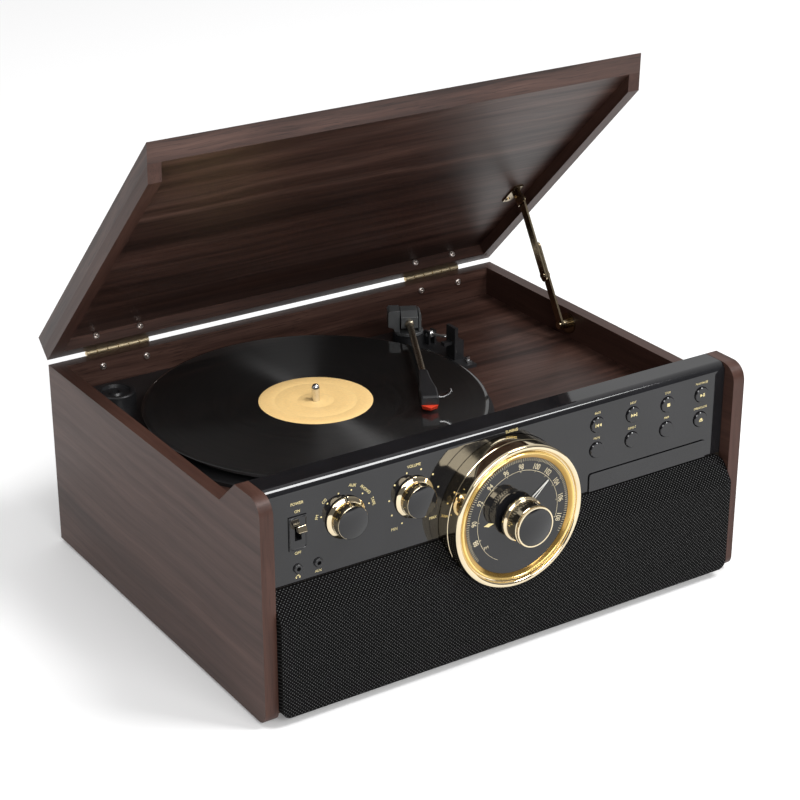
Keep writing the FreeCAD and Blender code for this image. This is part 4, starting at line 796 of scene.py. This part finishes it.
def tuning_knob(paints):
    """Plated knob with a wide foot, a ribbed band and a black cap in a thin rim."""
    place = front_frame("tuning_knob")
    foot, back, front = round_node("tuning_knob")
    low = stand("dial_pointer") + 3.0
    rim = foot - 1.6
    profile = [
        (0, back), (SHAFT, back), (SHAFT, low), (foot - 0.7, low), (foot, low + 0.7), (foot, low + 3.0),
        (foot - 0.4, low + 3.6), (foot - 1.6, low + 4.2), (rim - 0.6, low + 5.2), (rim - 0.6, low + 6.4),
        (rim - 0.5, low + 6.8, 0.35), (rim - 0.5, low + 10.2, 0.35), (rim - 0.6, low + 10.6),
        (rim - 0.6, low + 11.0), (rim, low + 11.6),
        (rim, front - 3.4), (rim - 0.6, front - 3.0), (rim - 0.6, front - 2.4), (rim, front - 2.0),
        (rim, front - 0.8), (rim - 0.3, front - 0.2), (rim - 0.8, front), (rim - 1.5, front - 0.1),
        (rim - 1.7, front - 0.6), (0, front - 0.6),
    ]
    knob = turned("tuning_grip", profile, place, paints["gold"], "tuning", MANY)
    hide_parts("tuning_knob")
    knob_cap("tuning_cap", place, rim - 1.75, front - 0.1, paints, "tuning")


def knob_cap(name, place, radius, top, paints, body):
    """Black inlay with a small bevel round its edge."""
    profile = [(0, top - 0.45), (radius, top - 0.45), (radius, top - 0.2), (radius - 0.3, top), (0, top)]
    turned(name, profile, place, paints["panel"], body)


# Knobs and power switch

def small_knob(body, mark, paints):
    """Plated knob with a skirt, two grooves, a black cap and a mark line at a clockwise angle."""
    node = body + "_knob"
    place = front_frame(node)
    skirt, back, front = round_node(node)
    face = skirt - 3.9
    low = 0.5
    profile = [
        (0, back), (SHAFT, back), (SHAFT, low), (skirt - 0.6, low), (skirt, low + 0.6), (skirt, low + 1.4),
        (skirt - 0.5, low + 1.9), (face + 1.4, low + 2.8), (face + 0.9, low + 3.2),
        (face + 0.8, low + 4.0), (face + 0.3, low + 4.1), (face + 0.3, low + 4.5), (face + 0.7, low + 4.6),
        (face + 0.6, low + 5.2), (face + 0.2, low + 5.3), (face + 0.2, low + 5.7), (face + 0.5, low + 5.8),
        (face, front - 0.6), (face - 0.1, front - 0.3), (face - 0.25, front - 0.2), (face - 0.3, front - 0.5),
        (0, front - 0.5),
    ]
    knob = turned(body + "_grip", profile, place, paints["gold"], body)
    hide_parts(node)
    knob_cap(body + "_cap", place, face - 0.3, front, paints, body)
    line = polar_bar(mark, face + 1.2, skirt + 0.05, 1.1)
    plates(body + "_mark", [line], place, low + 0.4, low + 2.95, paints["panel"], body)


def knobs(paints):
    """Both small knobs; the volume knob's mark stands at the lowest dot."""
    small_knob("function", 0.0, paints)
    small_knob("volume", -VOLUME_SWEEP / 2, paints)


def power_switch(paints):
    """Plated paddle in a slot with a rounded frame."""
    place = front_frame("power_switch_bezel")
    top = stand("power_switch_bezel")
    width, height = size("power_switch_bezel").x, size("power_switch_bezel").z
    border, corner, bar = 1.6, 3.0, 0.5
    shape = bmesh.new()
    path = rounded_rectangle(width - border, height - border, corner)
    swept_ring(shape, path, bar, place @ Matrix.Translation((0, 0, top)))
    from_bmesh("switch_frame", shape, paints["panel"], "cabinet")

    lean = Matrix.Rotation(-TOGGLE_ANGLE, 4, "X")
    arm = place @ Matrix.Translation((0, 0, -TOGGLE_PIVOT)) @ lean
    shape = bmesh.new()
    sections = []
    for reach, wide, tall in ((-2.4, 1.6, 1.3), (7.6, 1.6, 1.3), (9.6, 2.5, 1.7), (11.2, 3.3, 2.2),
                              (15.5, 3.9, 2.7)):
        sections.append([(x, y, reach) for x, y in rectangle(wide, tall)])
    loft(shape, sections, arm)
    paddle = from_bmesh("toggle_paddle", shape, paints["gold"], "toggle", 20)
    bevel(paddle, 0.5 * MM, 3, 25)
    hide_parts("power_toggle")


# Printing on the panel and the keys

# Words at the stops of the function knob and over the keys
FUNCTIONS = ("FM", "CD", "", "AUX", "PHONO", "TAPE")
KEY_WORDS = {
    "back": "BACK", "next": "NEXT", "stop": "STOP", "play": "PLAY/PAUSE",
    "blank_left": "PROG", "blank_right": "REPEAT", "pair": "PAIR", "eject": "OPEN/CLOSE",
}


def panel_print(paints):
    """Generic words, dots and signs beside the controls."""
    shape = bmesh.new()
    panel_cap, jack_cap, key_cap = 2.5, 2.2, 1.9

    def word(text, node, x, y, cap=panel_cap, turn=0.0):
        letters(shape, text, cap, front_frame(node), -PRINT_SUNK, PRINT_RISE, (x, y), turn, 0.92)

    def mark(outline, node):
        prism(shape, outline, front_frame(node), -PRINT_SUNK, PRINT_RISE)

    for text, rise in (("POWER", 25.2), ("ON", 18.4), ("OFF", -17.4)):
        word(text, "power_switch_bezel", 0, rise)
    stop_step, dot_ring, word_ring = 30, 22.6, 26.6
    for k, text in enumerate(FUNCTIONS):
        angle = stop_step * (k - (len(FUNCTIONS) - 1) / 2)
        mark(dot_outline(around(angle, dot_ring), 0.7), "function_knob")
        if text:
            word(text, "function_knob", *around(angle, word_ring).xy, turn=angle)
    dots, volume_ring = 10, 23.4
    for k in range(dots):
        angle = VOLUME_SWEEP * (k / (dots - 1) - 0.5)
        mark(dot_outline(around(angle, volume_ring), 0.8), "volume_knob")
    for text, x, y in (("VOLUME", 0, 27.4), ("MIN", -18.5, -23.8), ("MAX", 18.5, -23.8)):
        word(text, "volume_knob", x, y)
    word("TUNING", "dial_housing", 8, 65.4)
    jack = size("jack_sockets").x / 2 - size("jack_sockets").z / 2
    jack_drop = 7.3
    word("AUX", "jack_sockets", jack, -jack_drop, jack_cap)
    headband = polar_arc(1.5, 0.5, -90, 90, 15)
    earcups = [polar_bar(angle, 1.0, 2.2, 1.6) for angle in (-100, 100)]
    for outline in (headband, *earcups):
        mark([(x - jack, y - jack_drop) for x, y in outline], "jack_sockets")
    for key, text in KEY_WORDS.items():
        word(text, "button_" + key, 0, 10.8, key_cap)
    from_bmesh("panel_words", shape, paints["gold_print"], "cabinet")


def key_symbols(paints):
    """Skip, stop, play and eject signs on the keys."""
    left = [(-1.3, 0), (1.3, 1.6), (1.3, -1.6)]
    right = [(-1.3, 1.6), (1.3, 0), (-1.3, -1.6)]
    bar = rectangle(0.35, 1.6)
    block = rectangle(1.6, 1.6)
    wedge = [(0, 1.7), (2.0, -0.5), (-2.0, -0.5)]
    shelf = [(-2.0, -1.0), (2.0, -1.0), (2.0, -1.7), (-2.0, -1.7)]
    signs = {
        "back": [(bar, -2.9), (left, -1.0), (left, 1.8)],
        "next": [(right, -1.8), (right, 1.0), (bar, 2.9)],
        "stop": [(block, 0)],
        "play": [(right, -1.2), (bar, 0.9), (bar, 2.1)],
        "eject": [(wedge, 0), (shelf, 0)],
    }
    for key, marks in signs.items():
        node = "button_" + key
        top = stand(node)
        outlines = [[(x + shift, y) for x, y in outline] for outline, shift in marks]
        plates("sign_" + key, outlines, front_frame(node), top - PRINT_SUNK, top + PRINT_RISE,
               paints["gold_print"], "key_" + key)


# Turntable

def record(paints):
    """Pressed disc with a tapered rim, a run-out and a paper label."""
    place = top_frame("record")
    radius = size("record").x / 2
    thick = size("record").z
    hole = size("spindle").x / 2 + 0.05
    label = 50.0
    level = thick - 0.2
    profile = [
        (hole, 0), (radius - 0.4, 0), (radius, 0.35), (radius - 0.2, thick - 0.9),
        (radius - 0.7, thick - 0.75), (radius - 2.8, thick - 0.1), (radius - 3.4, thick),
        (radius - 4.4, thick - 0.05), (radius - 6.0, level), (label + 11, level), (label + 10, level - 0.1),
        (label + 2, level - 0.1), (label + 1, level), (hole, level),
    ]
    disc = turned("record_disc", profile, place, paints["vinyl"], "platter_group", 256, hollow=True)
    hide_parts("record")
    inner, low, top = hole + 0.1, level - 0.05, thick - 0.02
    outline = [(inner, low), (label - 0.3, low), (label, low + 0.1), (label - 0.3, top)]
    for ring in (36.0, 16.0):
        outline += [(ring + 0.7, top), (ring + 0.3, top - 0.08), (ring - 0.3, top - 0.08), (ring - 0.7, top)]
    outline.append((inner, top))
    turned("record_label", outline, place, paints["label"], "platter_group", MANY, hollow=True)


def spindle(paints):
    """Polished pin with a shoulder and a domed end."""
    place = top_frame("spindle")
    radius = size("spindle").x / 2
    top = size("spindle").z
    dome = 4.6
    profile = [(0, 0), (radius - 0.4, 0), (radius, 0.4), (radius, top - dome)]
    for angle in range(15, 90, 15):
        turn = math.radians(angle)
        profile.append((radius * math.cos(turn), top - dome + dome * math.sin(turn)))
    profile.append((0, top))
    pin = turned("spindle_pin", profile, place, paints["steel"], "platter_group", 64)
    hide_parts("spindle")


# Tonearm

def arm_frame():
    """Frame in millimetres at the arm's pivot: X to the arm's right, Y back along it, Z up."""
    return joint_frame("arm_lift", -ARM_YAW, "Z")


def arm_yoke(paints):
    """Casting on a round foot, with a thick left cheek on a narrow leg and a thin right cheek."""
    place = arm_frame()
    floor, top, half = -12.2, 12.0, 8.0
    near = HEAD_HALF_WIDTH + 0.8
    far = near + 11.0
    foot = floor + 3
    left = [(-near, foot), (-near - 4.5, foot), (-near - 6.0, -5.5), (-far, -4.0), (-far, top - 1.5),
            (-far + 1.5, top), (-near, top)]
    right = [(near, foot), (near + 2.5, foot), (near + 2.5, top - 4.0), (near + 1.0, top - 2.0),
             (near, top - 2.0)]
    shape = bmesh.new()
    for outline in (left, right):
        prism(shape, outline, place @ ALONG_Y, -half, half)
    lathe(shape, [(0, floor), (14, floor), (14, floor + 2.4), (13.4, foot), (0, foot)], place, 96)
    yoke = from_bmesh("arm_yoke", shape, paints["arm_plastic"], "arm_turret")
    bevel(yoke, 0.4 * MM)
    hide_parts("tonearm_yoke")


def arm_tube(paints):
    """Tube with a collar at each end, in a head block with a sloped front and a small weight behind."""
    place = arm_frame()
    half = HEAD_HALF_WIDTH
    shape = bmesh.new()
    prism(shape, [(8, -4.5), (8, 11), (-4, 11), (-11, 6.5), (-11, -4.5)], place @ ALONG_X, -half, half)
    prism(shape, [(9, -4), (9, 4), (8, 4), (8, -4)], place @ ALONG_X, -4, 4)
    weight = [(19, -5.5), (19, 5.5), (17.5, 7), (9, 7), (9, -7), (17.5, -7)]
    prism(shape, weight, place @ ALONG_X, -half - 1, half + 1)
    head = from_bmesh("arm_head", shape, paints["arm_plastic"], "arm")
    bevel(head, 0.4 * MM)
    ahead = Matrix.Rotation(-ARM_YAW, 3, "Z") @ Vector((0, -1, 0))
    radius, collar, sleeve = 3.0, 4.2, 3.5
    back, front = 10.5, 129.0
    profile = [(0, back), (collar, back), (collar, 13.5), (3.6, 14.2), (radius, 14.6), (radius, 124.4),
               (sleeve, 124.8), (sleeve, front), (0, front)]
    along = axis_frame(joint_place("arm_lift"), ahead)
    tube = turned("arm_tube", profile, along, paints["tube"], "arm", FEW)
    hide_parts("tonearm_tube")


def arm_shell(paints):
    """Moulded headshell that widens to the front, with a bent finger lift on its right."""
    place = arm_frame()
    sections = []
    edge = 1.4
    for reach, half, low, top in ((126.5, 4.3, -3.6, 3.6), (140, 4.9, -4.2, 3.5), (150, 5.8, -5.0, 3.3),
                                  (164, 8.0, -5.7, 3.0), (181, 8.0, -5.7, 2.4), (183, 7.4, -5.7, 1.2)):
        outline = [(-half, low), (half, low), (half, top - edge), (half - edge, top), (edge - half, top),
                   (-half, top - edge)]
        sections.append([(x, -reach, z) for x, z in outline])
    shape = bmesh.new()
    loft(shape, sections, place)
    shell = from_bmesh("arm_shell", shape, paints["plastic"], "arm", 20)
    bevel(shell, 0.3 * MM, 2, 20)
    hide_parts("headshell")
    bend = [(7.6, -0.9), (12.0, -0.7), (15.5, 0.6), (18.5, 3.2), (19.6, 4.8), (18.6, 5.4), (17.4, 3.9),
            (14.8, 1.8), (11.8, 0.6), (7.6, 0.5)]
    lift = plates("finger_lift", [bend], place @ ALONG_Y, 8 - ARM_REACH, 13 - ARM_REACH, paints["steel"],
                  "arm", 50)
    bevel(lift, 0.25 * MM, 2, 50)


def stylus(paints):
    """Red stylus holder with a pointed nose that slopes in below, and its needle."""
    place = arm_frame()
    back, front = 18 - ARM_REACH, 4 - ARM_REACH
    sections = []
    for height, half, nose in ((-9.3, 6.4, 0.5 - ARM_REACH), (-5.7, 7.4, -3 - ARM_REACH)):
        outline = [(-half, back), (half, back), (half, front), (0, nose), (-half, front)]
        sections.append([(x, y, height) for x, y in outline])
    shape = bmesh.new()
    loft(shape, sections, place)
    tip = [(0, -10.6), (0.2, -10.4), (0.5, -9.2), (0, -9.2)]
    lathe(shape, tip, place @ Matrix.Translation((0, front, 0)), 16)
    holder = from_bmesh("stylus_holder", shape, paints["red"], "arm")
    bevel(holder, 0.2 * MM, 2)
    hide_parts("cartridge")


def cue_lever(paints):
    """Bright lever with a turned hub and a flattened grip."""
    place = joint_frame("cue_turn", -CUE_ANGLE, "X")
    shape = bmesh.new()
    hub = [(0, -4), (2, -4), (2, -2), (3.2, -2), (3.6, -1.6), (3.6, 1.6), (3.2, 2), (2, 2), (2, 4), (0, 4)]
    lathe(shape, hub, place @ Matrix.Rotation(QUARTER, 4, "Y"), FEW)
    sections = []
    for reach, wide, thick in ((2.5, 1.3, 1.0), (19.0, 1.1, 0.8), (21.0, 2.4, 1.1), (27.0, 2.5, 0.9),
                               (28.0, 1.9, 0.5)):
        sections.append([(x, -reach, z) for x, z in rectangle(wide, thick)])
    loft(shape, sections, place)
    lever = from_bmesh("cue_handle", shape, paints["silver"], "cue", 25)
    bevel(lever, 0.3 * MM, 2, 25)
    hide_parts("cue_lever")


# Hinges

HINGE_LENGTH = 62.5
KNUCKLES = 6
# Bolts: head radius, spread along a hinge and distance from its axis
BOLT_HEAD = 2.7
BOLT_SPREAD = 43.4
BOLT_DROP = 9.0
# Distances in front of the hinge axis: back of the leaves and inner face of the boards
LEAF_BACK = 1.2
BOARD_FRONT = 14.4


def hinge_frame(body):
    """Frame in millimetres on the hinge axis that turns with a body's rest angle."""
    return joint_frame("lid_hinge", -LID_ANGLE if body == "lid" else 0.0, "X")


def hinge_barrels(paints):
    """Rolled knuckles of both hinges, in turn on the cabinet's leaf and on the lid's."""
    low, high = (corner.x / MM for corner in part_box("cabinet_hinge_leaves"))
    step = HINGE_LENGTH / KNUCKLES
    radius, gap, chamfer = 2.65, 0.4, 0.2
    for body, first in (("cabinet", 0), ("lid", 1)):
        along = hinge_frame(body) @ Matrix.Rotation(QUARTER, 4, "Y")
        shape = bmesh.new()
        for start in (low, high - HINGE_LENGTH):
            for k in range(first, KNUCKLES, 2):
                left, right = start + k * step + gap, start + (k + 1) * step - gap
                barrel = [(0, left), (radius - chamfer, left), (radius, left + chamfer),
                          (radius, right - chamfer), (radius - chamfer, right), (0, right)]
                lathe(shape, barrel, along, FEW)
        from_bmesh(body + "_knuckles", shape, paints["knuckle"], body)


def hinge_screws(paints):
    """Domed bolt heads behind the leaves and cup nuts with a stud end inside."""
    head = [(0, 0), (BOLT_HEAD, 0), (BOLT_HEAD, 0.4), (2.2, 1.0), (1.2, 1.4), (0.9, 1.0), (0, 1.0)]
    nut = [(0, 0), (3.2, 0), (3.2, 0.7), (2.9, 1.3), (2.3, 1.6), (2.0, 1.3), (1.8, 0.8), (1.4, 0.8),
           (1.3, 2.4), (0.9, 2.9), (0, 3.0)]
    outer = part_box("cabinet_hinge_bolts")[1].x / MM - BOLT_HEAD
    for body, drop in (("cabinet", -BOLT_DROP), ("lid", BOLT_DROP)):
        place = hinge_frame(body)
        shape = bmesh.new()
        for x in (-outer, BOLT_SPREAD - outer, outer - BOLT_SPREAD, outer):
            behind = place @ Matrix.Translation((x, -LEAF_BACK, drop))
            inside = place @ Matrix.Translation((x, -BOARD_FRONT, drop))
            lathe(shape, head, behind @ Matrix.Rotation(-QUARTER, 4, "X"), 32)
            lathe(shape, nut, inside @ Matrix.Rotation(QUARTER, 4, "X"), 32)
        screws = from_bmesh(body + "_screws", shape, paints["bolt"], body, 50)
        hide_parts(body + "_hinge_bolts")


# Stage

def floor_material():
    """Pale floor that looks white in full light and keeps the shadow."""
    pale, lift = 0.84, 0.15
    paint = Paint("stage_floor", Roughness=0.9, Specular_IOR_Level=0.0, Base_Color=(pale, pale, pale, 1))
    rays = paint.add("LightPath", {})
    seen = paint.math("MAXIMUM", rays.outputs["Is Camera Ray"], rays.outputs["Is Glossy Ray"])
    seen = paint.math("MAXIMUM", seen, rays.outputs["Is Transmission Ray"])
    paint.set(Emission_Color=(1, 1, 1, 1))
    paint.set(Emission_Strength=paint.math("MULTIPLY", seen, lift))
    return paint.material


def add_floor():
    """Wide flat floor under the part."""
    shape = bmesh.new()
    bmesh.ops.create_grid(shape, x_segments=1, y_segments=1, size=15)
    floor = add_object("stage_floor", to_mesh("stage_floor", shape, floor_material()))


def add_world():
    """Studio light that is bright above and behind, and darker low in front."""
    world = bpy.data.worlds.new("studio")
    world.use_nodes = True
    sky = Nodes(world.node_tree)
    towards = sky.add("TexCoord", {}).outputs["Generated"]
    lean = sky.vector("DOT_PRODUCT", towards, (0.10, 0.60, 0.80))["Value"]
    light = sky.ramp(lean, [(0.0, (0.16, 0.16, 0.165)), (0.75, 0.80)])
    sky.feed(sky.tree.nodes["Background"].inputs["Color"], light)
    bpy.context.scene.world = world


def add_aimed(name, data, place, aim):
    """Lamp or camera at a place, looking at another."""
    item = add_object(name, data)
    item.location = place
    item.rotation_euler = (Vector(aim) - Vector(place)).to_track_quat("-Z", "Y").to_euler()
    return item


def add_lamp(name, place, aim, width, height, power):
    """Rectangular soft lamp."""
    lamp = bpy.data.lights.new(name, "AREA")
    lamp.shape = "RECTANGLE"
    lamp.size = width
    lamp.size_y = height
    lamp.energy = power
    add_aimed(name, lamp, place, aim)


def add_camera():
    """The photo's point of view."""
    data = bpy.data.cameras.new("camera")
    data.sensor_width = 36.0
    data.lens = 94.18
    place, aim = (-0.9120, -1.40365, 0.9088), (-0.0167, -0.03135, 0.1731)
    bpy.context.scene.camera = add_aimed("camera", data, place, aim)


def add_stage():
    add_floor()
    add_world()
    add_lamp("key_lamp", (1.85, -1.75, 3.75), (0, 0, 0.1), width=1.2, height=1.7, power=125)
    add_lamp("front_lamp", (-0.4, -3.4, 2.3), (0, 0, 0.15), width=3.2, height=1.2, power=100)
    add_camera()
    bpy.context.scene.view_settings.view_transform = "Standard"


BUILDERS = (
    dial_housing, dial_glow_ring, dial_print, dial_pointer, tuning_knob,
    knobs, power_switch, panel_print, key_symbols,
    record, spindle, arm_yoke, arm_tube, arm_shell, stylus, cue_lever,
    hinge_barrels, hinge_screws,
)


def main():
    paints = make_paints()
    paint_nodes(paints)
    soften_edges()
    for build in BUILDERS:
        build(paints)
    add_stage()


main()
